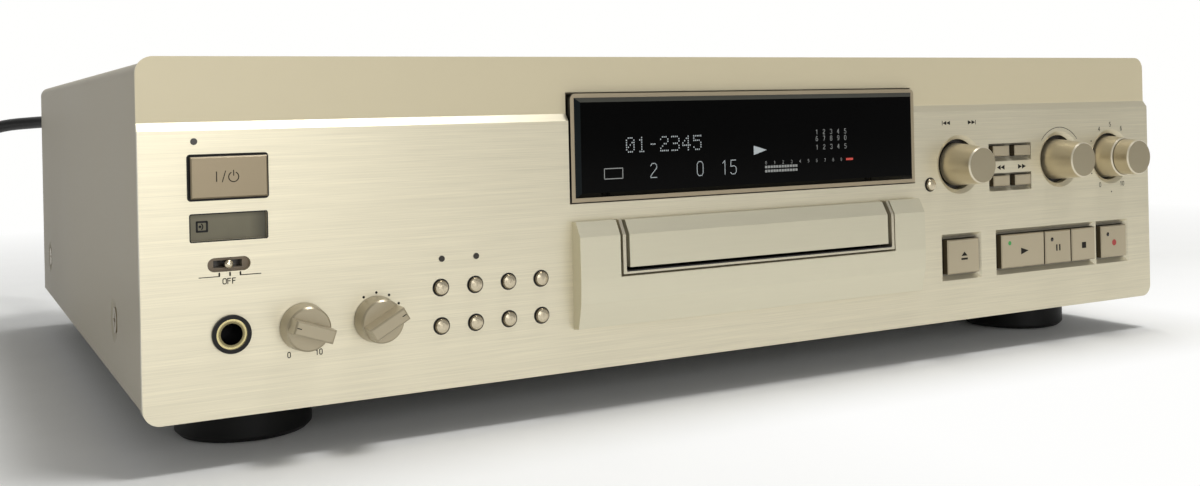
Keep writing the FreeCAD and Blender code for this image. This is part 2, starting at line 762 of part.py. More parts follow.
# Tray housing with its rim
surround = body("tray_surround")
bulge = sketch(surround, "side")
loop(bulge, (("0", "bulge_high"), ("-crown_rise", "bulge_high"), ("-shoulder_rise", "shoulder_level"),
             ("-belly_rise", "belly_level"), ("-knee_rise", "knee_level"), ("-toe_rise", "bulge_low + 0.4"),
             ("0", "bulge_low")))
pad(surround, bulge, "2 * bulge_half", middle=True)
cut_slab(surround, ("-mouth_half", "mouth_low", "mouth_half", "bulge_high + 1"), "-belly_rise - 1", "1")
pegs = sketch(surround, "front")
for across, level in PIN_SPOTS:
    circle(pegs, across, level, "1.5")
pad(surround, pegs, "panel_depth - 1", backward=True)
rim = body("tray_rim")
hoop = sketch(rim, "side")
loop(hoop, (("0", "bulge_high"), ("-crown_rise - rim_proud", "bulge_high"),
            ("-shoulder_rise - rim_proud", "shoulder_level"), ("-belly_rise - rim_proud", "mouth_low + rim_gap"),
            ("0", "mouth_low + rim_gap")))
pad(rim, hoop, "2 * (mouth_half - rim_gap)", middle=True)
cut_slab(rim, ("-mouth_half + rim_gap + rim_wall", "mouth_low + rim_gap + rim_wall",
               "mouth_half - rim_gap - rim_wall", "bulge_high + 1"), "-belly_rise - 2", "1")

# Tray door and tray
door = body("tray_door")
leaf = sketch(door, "side")
DOOR_LOW = "(mouth_low + rim_gap + rim_wall + door_low_gap)"
DOOR_HALF = "(mouth_half - rim_gap - rim_wall - door_side_gap)"
loop(leaf, (("-door_back", "bulge_high - 0.2"), ("-crown_rise", "bulge_high - 0.2"),
            ("-shoulder_rise", "shoulder_level"), ("-belly_rise", DOOR_LOW), ("-door_back", DOOR_LOW)))
pad(door, leaf, f"2 * {DOOR_HALF}", middle=True)

TRAY_BACK = "(tray_length - door_back)"
tray = body("tray")
slab(tray, ("-tray_half", "tray_bottom", "tray_half", "tray_top"), "-door_back", TRAY_BACK)
slab(tray, ("-tray_half - 5", "tray_bottom + 2", "tray_half + 5", "tray_bottom + 4"), f"{TRAY_BACK} - 25",
     TRAY_BACK)
cavity = sketch(tray, "top", "tray_top")
rectangle(cavity, "-pocket_width / 2", "pocket_front", "pocket_width / 2", "pocket_front + pocket_depth")
pocket(tray, cavity, "pocket_sink")
grips = sketch(tray, "top", "tray_top")
for side in (-1, 1):
    circle(grips, f"{side} * pocket_width / 2", "pocket_front + pocket_depth / 2", "finger_radius")
pocket(tray, grips, "pocket_sink - 1")
view = sketch(tray, "top", "tray_top")
rectangle(view, "-window_width / 2", "pocket_front + pocket_depth - window_length", "window_width / 2",
          "pocket_front + pocket_depth - 6")
pocket(tray, view, "tray_top - tray_bottom + 1")
RACK_FRONT = "(gear_back - 3 * pi * tooth_module)"
slab(tray, ("rack_line - rack_body", "rack_bottom", "rack_line - 1.25 * tooth_module", "tray_bottom + 0.5"),
     f"{RACK_FRONT} - 2", f"{RACK_FRONT} + (rack_teeth - 1) * pi * tooth_module + 2")
tooth = sketch(tray, "top", "rack_bottom")
HALF_TOOTH = "((pi * tooth_module - tooth_backlash) / 4)"
SPREAD = "tan(20 deg) * tooth_module"
loop(tooth, (("rack_line - 1.35 * tooth_module", f"{RACK_FRONT} - {HALF_TOOTH} - 1.35 * {SPREAD}"),
             ("rack_line + tooth_module", f"{RACK_FRONT} - {HALF_TOOTH} + {SPREAD}"),
             ("rack_line + tooth_module", f"{RACK_FRONT} + {HALF_TOOTH} - {SPREAD}"),
             ("rack_line - 1.35 * tooth_module", f"{RACK_FRONT} + {HALF_TOOTH} + 1.35 * {SPREAD}")))
first_tooth = pad(tray, tooth, "tray_bottom - rack_bottom")
row_of_teeth = tray.newObject("PartDesign::LinearPattern", "rack_row")
row_of_teeth.Originals = [first_tooth]
row_of_teeth.Direction = (tooth, ["V_Axis"])
row_of_teeth.setExpression("Length", linked("(rack_teeth - 1) * pi * tooth_module"))
row_of_teeth.Occurrences = int(mm("rack_teeth"))
tray.Tip = row_of_teeth


def involute(base, angle):
    """A point of a circle's involute, by the angle unwound."""
    return V(base * (math.cos(angle) + angle * math.sin(angle)),
             base * (math.sin(angle) - angle * math.cos(angle)), 0)


def gear_outline():
    """The outline of the tray gear, each flank an arc through three involute points."""
    module = mm("tooth_module")
    teeth = int(mm("gear_teeth"))
    pitch = module * teeth / 2
    base = pitch * math.cos(math.radians(20))
    tip = pitch + module
    root = pitch - 1.25 * module
    unwound = [math.sqrt((radius / base) ** 2 - 1) for radius in (base + 0.001, (base + tip) / 2, tip)]
    flank = [involute(base, angle) for angle in unwound]
    at_pitch = math.tan(math.radians(20)) - math.radians(20)
    half = (math.pi * module - mm("tooth_backlash")) / (4 * pitch)
    edges = []
    for number in range(teeth):
        middle = math.pi / teeth * (2 * number + 1)

        def spot(point, side):
            """One flank point turned to the tooth, on either side of it."""
            angle = middle + side * (half + at_pitch - math.atan2(point.y, point.x))
            return V(point.Length * math.cos(angle), point.Length * math.sin(angle), 0)

        left = [spot(point, -1) for point in flank]
        right = [spot(point, 1) for point in flank]
        foot_left = left[0] * (root / left[0].Length)
        foot_right = right[0] * (root / right[0].Length)
        top = V(tip * math.cos(middle), tip * math.sin(middle), 0)
        following = middle + 2 * math.pi / teeth
        next_foot = spot(flank[0], -1)
        turn = FreeCAD.Rotation(V(0, 0, 1), math.degrees(2 * math.pi / teeth))
        next_foot = turn.multVec(foot_left)
        valley = V(root * math.cos((middle + following) / 2), root * math.sin((middle + following) / 2), 0)
        edges += [Part.makeLine(foot_left, left[0]), Part.Arc(*left).toShape(),
                  Part.Arc(left[2], top, right[2]).toShape(), Part.Arc(right[2], right[1], right[0]).toShape(),
                  Part.makeLine(right[0], foot_right), Part.Arc(foot_right, valley, next_foot).toShape()]
    return Part.Face(Part.Wire(Part.__sortEdges__(edges)))


def raised(label, face, height, x, y, z):
    """A flat outline thickened upwards."""
    outline = doc.addObject("Part::Feature", f"{label}_outline")
    outline.Shape = face
    solid = doc.addObject("Part::Extrusion", label)
    solid.Base = outline
    solid.Dir = V(0, 0, 1)
    solid.setExpression("LengthFwd", linked(height))
    solid.Solid = True
    return place(solid, x, f"({y})", z)


GEAR_ACROSS = "rack_line + tooth_module * gear_teeth / 2"
DECK_TOP = "(loader_deck + loader_gauge)"
PULLEY_LOW = f"({DECK_TOP} + 1.2)"
GEAR_LOW = "(rack_bottom + 0.4)"
wheel = raised("gear_teeth", gear_outline(), "gear_face", GEAR_ACROSS, "gear_back", GEAR_LOW)
hub = rod("z", "6", f"{GEAR_LOW} - {DECK_TOP} - 0.3", GEAR_ACROSS, "gear_back", f"{DECK_TOP} + 0.3")
pulley = rod("z", "pulley_radius", "pulley_height", GEAR_ACROSS, "gear_back", PULLEY_LOW)
flanges = [rod("z", "pulley_radius + 0.9", "0.6", GEAR_ACROSS, "gear_back", level)
           for level in (PULLEY_LOW, f"{PULLEY_LOW} + pulley_height - 0.6")]
carved("tray_gear", joined("gear_blank", [wheel, hub, pulley] + flanges),
       rod("z", "axle_radius + running_gap", "20", GEAR_ACROSS, "gear_back", DECK_TOP))
small = [rod("z", "motor_pulley_radius", "pulley_height", "motor_across", "motor_back", PULLEY_LOW)]
small += [rod("z", "motor_pulley_radius + 0.9", "0.6", "motor_across", "motor_back", level)
          for level in (PULLEY_LOW, f"{PULLEY_LOW} + pulley_height - 0.6")]
small.append(rod("z", "1", f"{PULLEY_LOW} - loader_deck + 8", "motor_across", "motor_back",
                 "loader_deck - 8"))
joined("motor_pulley", small)


def belt_face(grow):
    """The area inside the belt's line round both pulleys, at a distance from their rims."""
    start = V(mm(GEAR_ACROSS), mm("gear_back"), 0)
    end = V(mm("motor_across"), mm("motor_back"), 0)
    span = end - start
    large = mm(f"pulley_radius + {grow}")
    little = mm(f"motor_pulley_radius + {grow}")
    heading = math.atan2(span.y, span.x)
    lean = math.acos((large - little) / span.Length)

    def rim_spot(centre, radius, angle):
        return centre + V(radius * math.cos(angle), radius * math.sin(angle), 0)

    corners = [rim_spot(start, large, heading + lean), rim_spot(start, large, heading - lean),
               rim_spot(end, little, heading - lean), rim_spot(end, little, heading + lean)]
    edges = [Part.Arc(corners[0], rim_spot(start, large, heading + math.pi), corners[1]).toShape(),
             Part.makeLine(corners[1], corners[2]),
             Part.Arc(corners[2], rim_spot(end, little, heading), corners[3]).toShape(),
             Part.makeLine(corners[3], corners[0])]
    return Part.Face(Part.Wire(edges))


BELT_LOW = f"{PULLEY_LOW} + 0.8"
carved("drive_belt", raised("belt_outer", belt_face("belt_gap + 0.8"), "2.4", "0", "0", BELT_LOW),
       raised("belt_inner", belt_face("belt_gap"), "2.4", "0", "0", BELT_LOW))

can = rod("z", "motor_radius", "motor_height", "motor_across", "motor_back", "loader_deck - motor_height")
nose = rod("z", "3", "2", "motor_across", "motor_back", "loader_deck - motor_height - 2")
carved("loading_motor", joined("motor_blank", [can, nose]),
       rod("z", "1 + running_gap", "9", "motor_across", "motor_back", "loader_deck - 9"))

# Loader frame: a deck on legs with two rails that carry the tray
WALL_IN = "(loader_half - 2.6)"
loader_parts = [block("-loader_half - 0.6", "loader_half + 0.6", "loader_front", "loader_back + 85",
                      "loader_deck", DECK_TOP),
                rod("z", "axle_radius", "11", GEAR_ACROSS, "gear_back", DECK_TOP)]
for side in (-1, 1):
    for left, right, front, back, low, high in (
            (WALL_IN, "(loader_half + 0.6)", "loader_front", "loader_back", "loader_deck", "loader_wall_top"),
            ("(tray_half - 4)", f"({WALL_IN} + 1)", "loader_front", "loader_back", "tray_bottom - 2",
             "tray_bottom - rail_gap"),
            ("(tray_half - 2)", f"({WALL_IN} + 1)", "loader_front + 1", "loader_front + 13",
             "tray_top + rail_gap", "tray_top + 1.8")):
        first, second = (left, right) if side > 0 else (f"-{right}", f"-{left}")
        loader_parts.append(block(first, second, front, back, low, high))
    for back in ("loader_front + 6", "loader_back + 75"):
        loader_parts.append(rod("z", "4", f"loader_deck - {PAN_LOW} - pan_gauge", f"{side} * (loader_half - 6)",
                                back, f"{PAN_LOW} + pan_gauge"))
grooves = [block("-tray_half - 5.4", "tray_half + 5.4", "loader_front - 1", "loader_back + 1",
                 "tray_bottom + 2 - rail_gap", "tray_bottom + 4 + rail_gap"),
           rod("z", "3.2", "4", "motor_across", "motor_back", "loader_deck - 1")]
carved("loader_frame", joined("loader_blank", loader_parts), grouped("loader_cuts", grooves))

# Disc drive behind the tray
drive = [block("-42", "42", "tray_length + 4", "tray_length + 104", DECK_TOP, "56"),
         block("-46", "46", "tray_length + 10", "tray_length + 98", "56", "57.2"),
         rod("z", "13", "4", "0", "tray_length + 54", "57.2")]
joined("disc_drive", drive)

# Receiver window, lamps and headphone jack
window = facing("sensor_window", centred("window_across", "window_level", "window_wide", "window_high"),
                "window_sink", "panel_depth + 1")
slab(window, centred("window_across", "window_level", "window_wide", "window_high", "1"), "panel_depth",
     "panel_depth + 1")
grouped("led_lenses", [rod("y", "lamp_radius", "panel_depth + 2.2", across, "-0.2", level)
                       for across, level in LAMPS])
jack_parts = [rod("y", "jack_bush_radius", "panel_depth + 0.6", "jack_across", "-0.6", "jack_level"),
              block("jack_across - 6", "jack_across + 6", "panel_depth", "board_front", "jack_level - 6",
                    "jack_level + 6")]
carved("phones_jack", joined("jack_blank", jack_parts),
       rod("y", "jack_bore", "jack_bore_length + 1", "jack_across", "-1", "jack_level"))
carved("phones_nut", rod("y", "jack_nut_radius", "1.2", "jack_across", "-1.2", "jack_level"),
       rod("y", "jack_bush_radius", "2", "jack_across", "-1.5", "jack_level"))

# Boards with their switches and posts, and the pots that they carry
STEM_END = "(board_front - 3.5 - key_travel - 0.1)"
boards = []
for left, right, low, high in (("-210", "-78", "12", "80"), ("78", "210", "12", "80")):
    boards.append(block(left, right, "board_front", "board_front + board_gauge", low, high))
posts = [(-207, 15), (-82, 14.5), (-207, 77), (-82, 46), (82, 15), (82, 77), (207, 15), (207, 77)]
boards += [rod("y", "2", "board_front - panel_depth", across, "panel_depth", level)
           for across, level in posts]
switches = [(KEYS[name][0], KEYS[name][1]) for name in KEYS] + list(BUTTONS.values())
boards += [block(f"{across} - 3", f"{across} + 3", "board_front - 3.5", "board_front", f"{level} - 3",
                 f"{level} + 3") for across, level in switches]
boards.append(block("timer_across - 8", "timer_across + 8", "panel_depth + 3", "board_front",
                    "timer_level - 4", "timer_level + 4"))
near_boards = joined("panel_boards", boards)
MAIN = "(main_board_level + board_gauge)"
far = [block("72", "204", "60", "300", "main_board_level", MAIN)]
far += [rod("z", "3", f"main_board_level - {PAN_LOW} - pan_gauge", across, back, f"{PAN_LOW} + pan_gauge")
        for across in (78, 198) for back in (66, 294)]
far += [block(f"{across}", f"{across} + 22", f"{back}", f"{back} + 22", MAIN, f"{MAIN} + 3")
        for across, back in ((90, 90), (130, 130), (92, 180))]
far += [rod("z", "6", "22", across, back, MAIN) for across, back in ((150, 90), (170, 90), (160, 200))]
supply = [block("-204", "-120", "190", "290", "main_board_level", MAIN)]
supply += [rod("z", "3", f"main_board_level - {PAN_LOW} - pan_gauge", across, back, f"{PAN_LOW} + pan_gauge")
           for across in (-198, -126) for back in (196, 284)]
supply += [rod("z", "9", "32", across, back, MAIN) for across, back in ((-185, 215), (-160, 215))]
supply.append(block("-150", "-130", "250", "280", MAIN, f"{MAIN} + 30"))
grouped("circuit_boards", [near_boards, joined("main_board", far), joined("supply_board", supply)])

core = block("-200", "-130", "62", "118", "9", "59")
winding = block("-189", "-141", "52", "128", "15", "53")
stand = block("-208", "-122", "70", "110", f"{PAN_LOW} + pan_gauge", "9")
joined("power_transformer", [core, winding, stand])

pots = []
for across, level in [(name, "phone_level") for name in SMALL_KNOBS] + [
        (name, "knob_level") for name in LARGE_KNOBS]:
    case = [block(f"{across} - pot_size / 2", f"{across} + pot_size / 2", "pot_front", "board_front",
                  f"{level} - pot_size / 2", f"{level} + pot_size / 2"),
            rod("y", "5.5", "pot_front - panel_depth", across, "panel_depth", level)]
    bore = "shaft_radius"
    if across == "jog_across":
        bore = "axle_radius"
    hollow_bore = [rod("y", f"{bore} + running_gap", "9", across, "panel_depth - 1", level)]
    if across == "analog_across":
        hollow_bore.append(rod("y", "inner_shaft + running_gap", "11", across, "panel_depth - 0.5", level))
    pots.append(carved("pot", joined("pot_case", case), joined("pot_bore", hollow_bore)
                       if len(hollow_bore) > 1 else hollow_bore[0]))
grouped("control_pots", pots)

# Flat keys with a retaining flange above and below and a stem to the switch
for name, (across, level, width, height) in KEYS.items():
    key = body(name)
    proud = "2 * key_proud" if name == "power_button" else "key_proud"
    slab(key, centred(across, level, width, height), f"-{proud}", "panel_depth + key_gap")
    face = -mm(proud)
    soften(key, "Chamfer", "key_edge", lambda a, b: near(a.y, b.y) and near(a.y, face))
    slab(key, centred(across, level, width, f"{height} + 2 * key_flange"), "panel_depth + key_gap",
         "panel_depth + key_gap + key_flange")
    slab(key, centred(across, level, "3", "3"), "panel_depth + key_gap + key_flange", STEM_END)

# Round buttons
for name, (across, level) in BUTTONS.items():
    button = body(name, across, "0", level)
    turned(button, (("0", "-button_proud"), ("0.5 * button_radius", "-button_proud + 0.1"),
                    ("0.85 * button_radius", "-button_proud + 0.45"), ("button_radius", "-button_proud + 1"),
                    ("button_radius", "panel_depth + key_gap"),
                    ("button_radius + key_flange", "panel_depth + key_gap"),
                    ("button_radius + key_flange", "panel_depth + key_gap + key_flange"),
                    ("1.5", "panel_depth + key_gap + key_flange"), ("1.5", STEM_END), ("0", STEM_END)))

# Timer lever
lever = body("timer_lever", "timer_across", "0", "timer_level")
turned(lever, (("0", "-timer_proud + 2"), ("0.7", "-timer_proud + 2.15"), ("1.15", "-timer_proud + 2.6"),
               ("timer_ball", "-timer_proud + 3.2"), ("1", "-timer_proud + 3.9"), ("0.9", "2.2"),
               ("0.9", "panel_depth + key_gap"), ("0", "panel_depth + key_gap")))
slab(lever, centred("0", "0", "12", "5"), "panel_depth + key_gap", "panel_depth + 2.5")

# Small knobs with a grip bar across each face
for name, across, lean in (("phone_level_knob", "phone_across", -71), ("input_knob", "input_across", 61)):
    knob = body(name, across, "0", "phone_level")
    turned(knob, (("0", "-small_knob_disc"), ("small_knob_face - knob_edge", "-small_knob_disc"),
                  ("small_knob_face", "-small_knob_disc + knob_edge"), ("small_knob_foot", "-0.4"),
                  ("shaft_radius", "-0.4"), ("shaft_radius", "pot_front + 5"), ("0", "pot_front + 5")))
    bar = sketch(knob, "front", "small_knob_disc - 0.2")
    rectangle(bar, "-grip_width / 2", "-small_knob_face + 0.5", "grip_width / 2", "small_knob_face - 0.5")
    pad(knob, bar, "small_knob_reach - small_knob_disc + 0.2")
    face = -mm("small_knob_reach")
    soften(knob, "Chamfer", "knob_edge", lambda a, b: near(a.y, b.y) and near(a.y, face))
    knob.Placement.Rotation = FreeCAD.Rotation(V(0, 1, 0), lean)


def cone_outline(foot, face, low, high, edge, shaft, bore, end):
    """The turned outline of a knob that tapers to its face, with its shaft."""
    return ((bore, f"-({high})"), (f"{face} - {edge}", f"-({high})"), (face, f"-({high}) + {edge}"),
            (foot, low), (shaft, low), (shaft, end), (bore, end))


SUNK = "knob_sink + knob_dish_depth - 0.6"
digital = body("digital_level_knob", "digital_across", "0", "knob_level")
turned(digital, cone_outline("knob_foot", "knob_face", SUNK, "knob_reach", "knob_edge", "shaft_radius", "0",
                             "pot_front + 5"))
jog = body("jog_knob", "jog_across", "0", "knob_level")
turned(jog, cone_outline("knob_foot", "knob_face", f"{SUNK} - key_travel", "knob_reach", "knob_edge",
                         "shaft_radius", "0", "panel_depth - 1"))
cut_discs(jog, [("0", "0", "axle_radius + running_gap")], "-6", "panel_depth")
rod_piece = rod("y", "axle_radius", "pot_front + 10.5", "jog_across", "-5.9", "knob_level")
rod_piece.Label = "jog_shaft"
outer = body("analog_outer_knob", "analog_across", "0", "knob_level")
turned(outer, cone_outline("ring_foot", "ring_face", SUNK, "ring_reach", "knob_edge", "shaft_radius",
                           "(inner_shaft + running_gap)", "pot_front + 5"))
inner = body("analog_inner_knob", "analog_across", "0", "knob_level")
turned(inner, cone_outline("knob_face + 0.3", "knob_face + 0.1", "-(ring_reach + analog_gap)",
                           "analog_reach", "knob_edge", "inner_shaft", "0", "pot_front + 7"))

# Mains cord: gland, lead, put-away coil and plug
FLOOR = "(-lift + cord_radius)"
gland = body("cord_gland", "cord_across", "0", "cord_level")
turned(gland, (("0", "case_depth - 6"), ("gland_radius - 1", "case_depth - 6"),
               ("gland_radius", "case_depth - 4"), ("gland_radius", "case_depth"),
               ("gland_radius + 2.4", "case_depth"), ("gland_radius + 2.4", "case_depth + 2.5"),
               ("gland_radius", "case_depth + 2.5"), ("cord_radius + 1.2", "case_depth + gland_length"),
               ("0", "case_depth + gland_length")))


def bent(points):
    """A path of straight runs joined by tangent arcs, and its smallest radius."""
    edges = []
    smallest = 1e9
    last = points[0]
    for before, corner, after in zip(points, points[1:], points[2:]):
        arriving = (corner - before).normalize()
        leaving = (after - corner).normalize()
        half = arriving.getAngle(leaving) / 2
        trim = 0.45 * min((corner - before).Length, (after - corner).Length)
        radius = trim / math.tan(half)
        smallest = min(smallest, radius)
        inward = (leaving - arriving).normalize()
        start = corner - arriving * trim
        end = corner + leaving * trim
        middle = corner + inward * (radius / math.cos(half) - radius)
        edges += [Part.makeLine(last, start), Part.Arc(start, middle, end).toShape()]
        last = end
    edges.append(Part.makeLine(last, points[-1]))
    return edges, smallest


def biarc(start, heading, end, final):
    """Two tangent arcs between two points with given unit headings."""
    gap = end - start
    total = heading + final
    square = 2 * (1 - heading.dot(final))
    reach = (-gap.dot(total) + math.sqrt(gap.dot(total) ** 2 + 2 * square * gap.dot(gap) / 2)) / square
    first = start + heading * reach
    second = end - final * reach
    join = (first + second) / 2
    edges = []
    for one, other, control in ((start, join, first), (join, end, second)):
        chord = (one + other) / 2
        half = math.atan2((control - chord).Length, (other - one).Length / 2)
        bulge_out = (control - chord).normalize() * ((other - one).Length / 2 * math.tan(half / 2))
        edges.append(Part.Arc(one, chord + bulge_out, other).toShape())
    return edges


def tube_along(label, edges):
    """A round tube swept along a smooth path of the panel's frame."""
    path = Part.Wire(edges)
    start = path.Edges[0].valueAt(path.Edges[0].FirstParameter)
    ring = Part.Wire([Part.makeCircle(mm("cord_radius"), start, path.Edges[0].tangentAt(0))])
    piece = doc.addObject("Part::Feature", label)
    piece.Label = label
    piece.Shape = path.makePipeShell([ring], True, False)
    expected = math.pi * mm("cord_radius") ** 2 * path.Length
    print(f"{label}: length {path.Length:.1f}, volume against section times length "
          f"{piece.Shape.Volume / expected:.5f}")
    return place(piece), path


MIDDLE = mm("coil_across")
ACROSS = mm("coil_back")
PITCH = mm("turn_pitch")
LOW = mm(FLOOR)
OUTER = mm("coil_middle + 1.25 * turn_pitch")
start_coil = V(MIDDLE + OUTER, ACROSS, LOW)
LEAD = ((-186, 339.1, 88.2), (-188, 370, 88.3), (-206, 397, 88.4), (-236, 408, 86), (-262, 407, 68),
        (-274, 399, 38), (-273, 380, 9), (-267, 350, -8.5), (-259.625, 318, -11.4))
lead_points = [V(mm("cord_across"), mm("case_depth + gland_length"), mm("cord_level"))]
lead_points += [V(*spot) for spot in LEAD[1:-1]]
lead_points += [V(start_coil.x, LEAD[-1][1], LOW), start_coil]
lead_edges, tightest = bent(lead_points)
print(f"lead: smallest bend {tightest:.1f}")
tube_along("cord_lead", lead_edges)

# Coil: three turns inwards on the floor, half a turn that climbs, three turns outwards above
coil_edges = []
radius = OUTER
centre = V(MIDDLE, ACROSS, LOW)
side = 1
for number in range(6):
    coil_edges.append(Part.Arc(centre + V(side * radius, 0, 0), centre - V(0, side * radius, 0),
                               centre - V(side * radius, 0, 0)).toShape())
    centre = centre - V(side * PITCH / 2, 0, 0)
    radius -= PITCH / 2
    side = -side
climb = V(0, 0, PITCH)
crest = centre - V(0, radius, 0) + climb / 2
coil_edges += biarc(centre + V(radius, 0, 0), V(0, -1, 0), crest, V(-1, 0, 0))
coil_edges += biarc(crest, V(-1, 0, 0), centre - V(radius, 0, 0) + climb, V(0, 1, 0))
centre = centre + climb
side = -1
for number in range(6):
    radius += PITCH / 2
    centre = centre - V(side * PITCH / 2, 0, 0)
    coil_edges.append(Part.Arc(centre + V(side * radius, 0, 0), centre - V(0, side * radius, 0),
                               centre - V(side * radius, 0, 0)).toShape())
    side = -side
coil_end = centre + V(side * radius, 0, 0)
tail = V(coil_end.x, coil_end.y + 44, coil_end.z)
coil_edges.append(Part.makeLine(coil_end, tail))
coil, coil_path = tube_along("cord_coil", coil_edges)
spots = coil_path.discretize(Distance=3.0)
away = int(3 * mm("cord_radius") * 2 / 3.0)
least = min((one - other).Length for number, one in enumerate(spots) for other in spots[number + away:])
print(f"coil: least gap to itself {least - 2 * mm('cord_radius'):.2f}")

# Plug that stands on the floor beside the coil
plug_parts = [block(f"{tail.x} - plug_width / 2", f"{tail.x} + plug_width / 2", f"{tail.y} + 8",
                    f"{tail.y} + plug_length", "-lift", f"-lift + 2 * {tail.z - mm('-lift')}"),
              rod("y", "cord_radius + 2", "10", f"{tail.x}", f"{tail.y}", f"{tail.z}")]
plug_parts += [block(f"{tail.x} + {side} * blade_spread / 2 - blade_thick / 2",
                     f"{tail.x} + {side} * blade_spread / 2 + blade_thick / 2",
                     f"{tail.y} + plug_length - 1", f"{tail.y} + plug_length + blade_length",
                     f"{tail.z} - blade_width / 2", f"{tail.z} + blade_width / 2") for side in (-1, 1)]
joined("cord_plug", plug_parts)

# Every piece is checked and written under its own name
NODES = ["front_panel", "top_cover", "chassis_base", "rear_panel", "case_screws", "feet", "foot_pads",
         "display_frame", "display_glass", "display_module", "tray_surround", "tray_rim", "sensor_window",
         "led_lenses", "phones_jack", "phones_nut", "control_pots", "circuit_boards", "power_transformer",
         "loader_frame", "loading_motor", "drive_belt", "disc_drive", "rca_jacks", "optical_jacks",
         "cord_gland", "cord_lead", "cord_coil", "cord_plug", "tray", "tray_door", "tray_gear",
         "motor_pulley", "timer_lever", "phone_level_knob", "input_knob", "jog_shaft", "jog_knob",
         "digital_level_knob", "analog_outer_knob", "analog_inner_knob"] + list(KEYS) + list(BUTTONS)

doc.recompute()
for item in doc.Objects:
    if "Invalid" in item.State or "Error" in item.State:
        raise RuntimeError(f"{item.Name} ({item.Label}) did not compute")

os.makedirs("parts", exist_ok=True)
for name in NODES:
    piece = [item for item in doc.Objects if item.Label == name][0]
    if piece.Shape.isNull() or not piece.Shape.isValid() or piece.Shape.Volume < 0.5:
        raise RuntimeError(f"{name} is not a sound solid")
    piece.Shape.exportStep(f"parts/{name}.step")
print(f"{len(NODES)} pieces written")
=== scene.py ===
import math

import bpy
import numpy as np
from mathutils import Matrix, Vector


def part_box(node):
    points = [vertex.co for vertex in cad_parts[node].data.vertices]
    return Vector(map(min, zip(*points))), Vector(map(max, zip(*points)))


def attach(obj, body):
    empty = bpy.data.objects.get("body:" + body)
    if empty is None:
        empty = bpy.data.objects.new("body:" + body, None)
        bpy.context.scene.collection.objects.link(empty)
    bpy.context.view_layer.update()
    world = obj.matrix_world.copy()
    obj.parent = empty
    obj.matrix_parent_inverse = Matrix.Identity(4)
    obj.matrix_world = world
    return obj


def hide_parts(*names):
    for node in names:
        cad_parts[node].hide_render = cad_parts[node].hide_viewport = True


# Looks of the minidisc deck
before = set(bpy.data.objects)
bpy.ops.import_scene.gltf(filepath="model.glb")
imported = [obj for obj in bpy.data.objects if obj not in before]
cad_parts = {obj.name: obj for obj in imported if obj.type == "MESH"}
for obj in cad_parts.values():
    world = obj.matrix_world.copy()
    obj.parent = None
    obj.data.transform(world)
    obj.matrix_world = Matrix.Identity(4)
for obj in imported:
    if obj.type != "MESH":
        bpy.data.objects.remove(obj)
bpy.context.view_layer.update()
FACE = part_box("front_panel")[0]
MM = 0.001


def at(x, y, z):
    """A point of the panel's frame, given in millimetres, in metres in the deck's frame.

    The panel's frame has X to the right seen from the front, Y back from the panel's face and Z up from
    the panel's lower edge. All places below are given in it.
    """
    return (x * MM, FACE.y + y * MM, FACE.z + z * MM)


def reach_of(name):
    """A node's lowest and highest corner in millimetres of the panel's frame."""
    return [(corner.x / MM, (corner.y - FACE.y) / MM, (corner.z - FACE.z) / MM)
            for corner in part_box(name)]


# Camera: fitted to the photograph, which is 1200 by 486
IMAGE_WIDE = 1200
IMAGE_HIGH = 486
FOCAL = 1251.7
CENTRE = (601.36, 109.37)
SENSOR = 36.0
EYE = (-269.46, -376.70, 88.20)
camera_data = bpy.data.cameras.new("camera")
camera = bpy.data.objects.new("camera", camera_data)
bpy.context.scene.collection.objects.link(camera)
bpy.context.scene.camera = camera
camera_data.sensor_width = SENSOR
camera_data.lens = SENSOR * FOCAL / IMAGE_WIDE
camera_data.shift_x = (IMAGE_WIDE / 2 - CENTRE[0]) / IMAGE_WIDE
camera_data.shift_y = (CENTRE[1] - IMAGE_HIGH / 2) / IMAGE_WIDE
camera_data.clip_start = 0.01
look = Vector((0.47873, 0.87796, 0.00049)).normalized()
up = Vector((0.01831, -0.01055, 0.99978))
up = (up - look * up.dot(look)).normalized()
right = look.cross(up)
turn = Matrix((right, up, -look)).transposed()
camera.matrix_world = Matrix.Translation(at(*EYE)) @ turn.to_4x4()


# Materials: sockets that add and multiply, and one method for other nodes
def paint(red, green, blue):
    """A colour as it looks on a screen, from 0 to 255, as linear light."""
    return tuple(((c / 255 + 0.055) / 1.055) ** 2.4 if c > 10 else c / 255 / 12.92
                 for c in (red, green, blue))


def scaled(colour, factor):
    """A colour times a factor, and no brighter than white."""
    return tuple(min(1.0, c * factor) for c in colour)


class Value:
    """A node's output, which can be used in a formula."""

    def __init__(self, surface, socket):
        self.surface = surface
        self.socket = socket

    def math(self, kind, other=0.0, turned_round=False):
        first, second = (other, self) if turned_round else (self, other)
        return self.surface.node("ShaderNodeMath", "Value", {0: first, 1: second}, operation=kind)

    def __add__(self, other):
        return self.math("ADD", other)

    def __radd__(self, other):
        return self.math("ADD", other)

    def __sub__(self, other):
        return self.math("SUBTRACT", other)

    def __rsub__(self, other):
        return self.math("SUBTRACT", other, True)

    def __mul__(self, other):
        return self.math("MULTIPLY", other)

    def __truediv__(self, other):
        return self.math("DIVIDE", other)

    def __pow__(self, other):
        return self.math("POWER", other)

    def above(self, limit):
        return self.math("GREATER_THAN", limit)

    def clear(self):
        """Kept between none and one."""
        return self.surface.node("ShaderNodeClamp", "Result", {"Value": self})

    def ramp(self, start, end):
        """None below the start, one above the end, and even between them."""
        return ((self - start) * (1.0 / (end - start))).clear()

    def within(self, low, high):
        """One between two limits and none outside them, with edges that are 0.2 wide."""
        return self.ramp(low, low + 0.2) * (1.0 - self.ramp(high, high + 0.2))


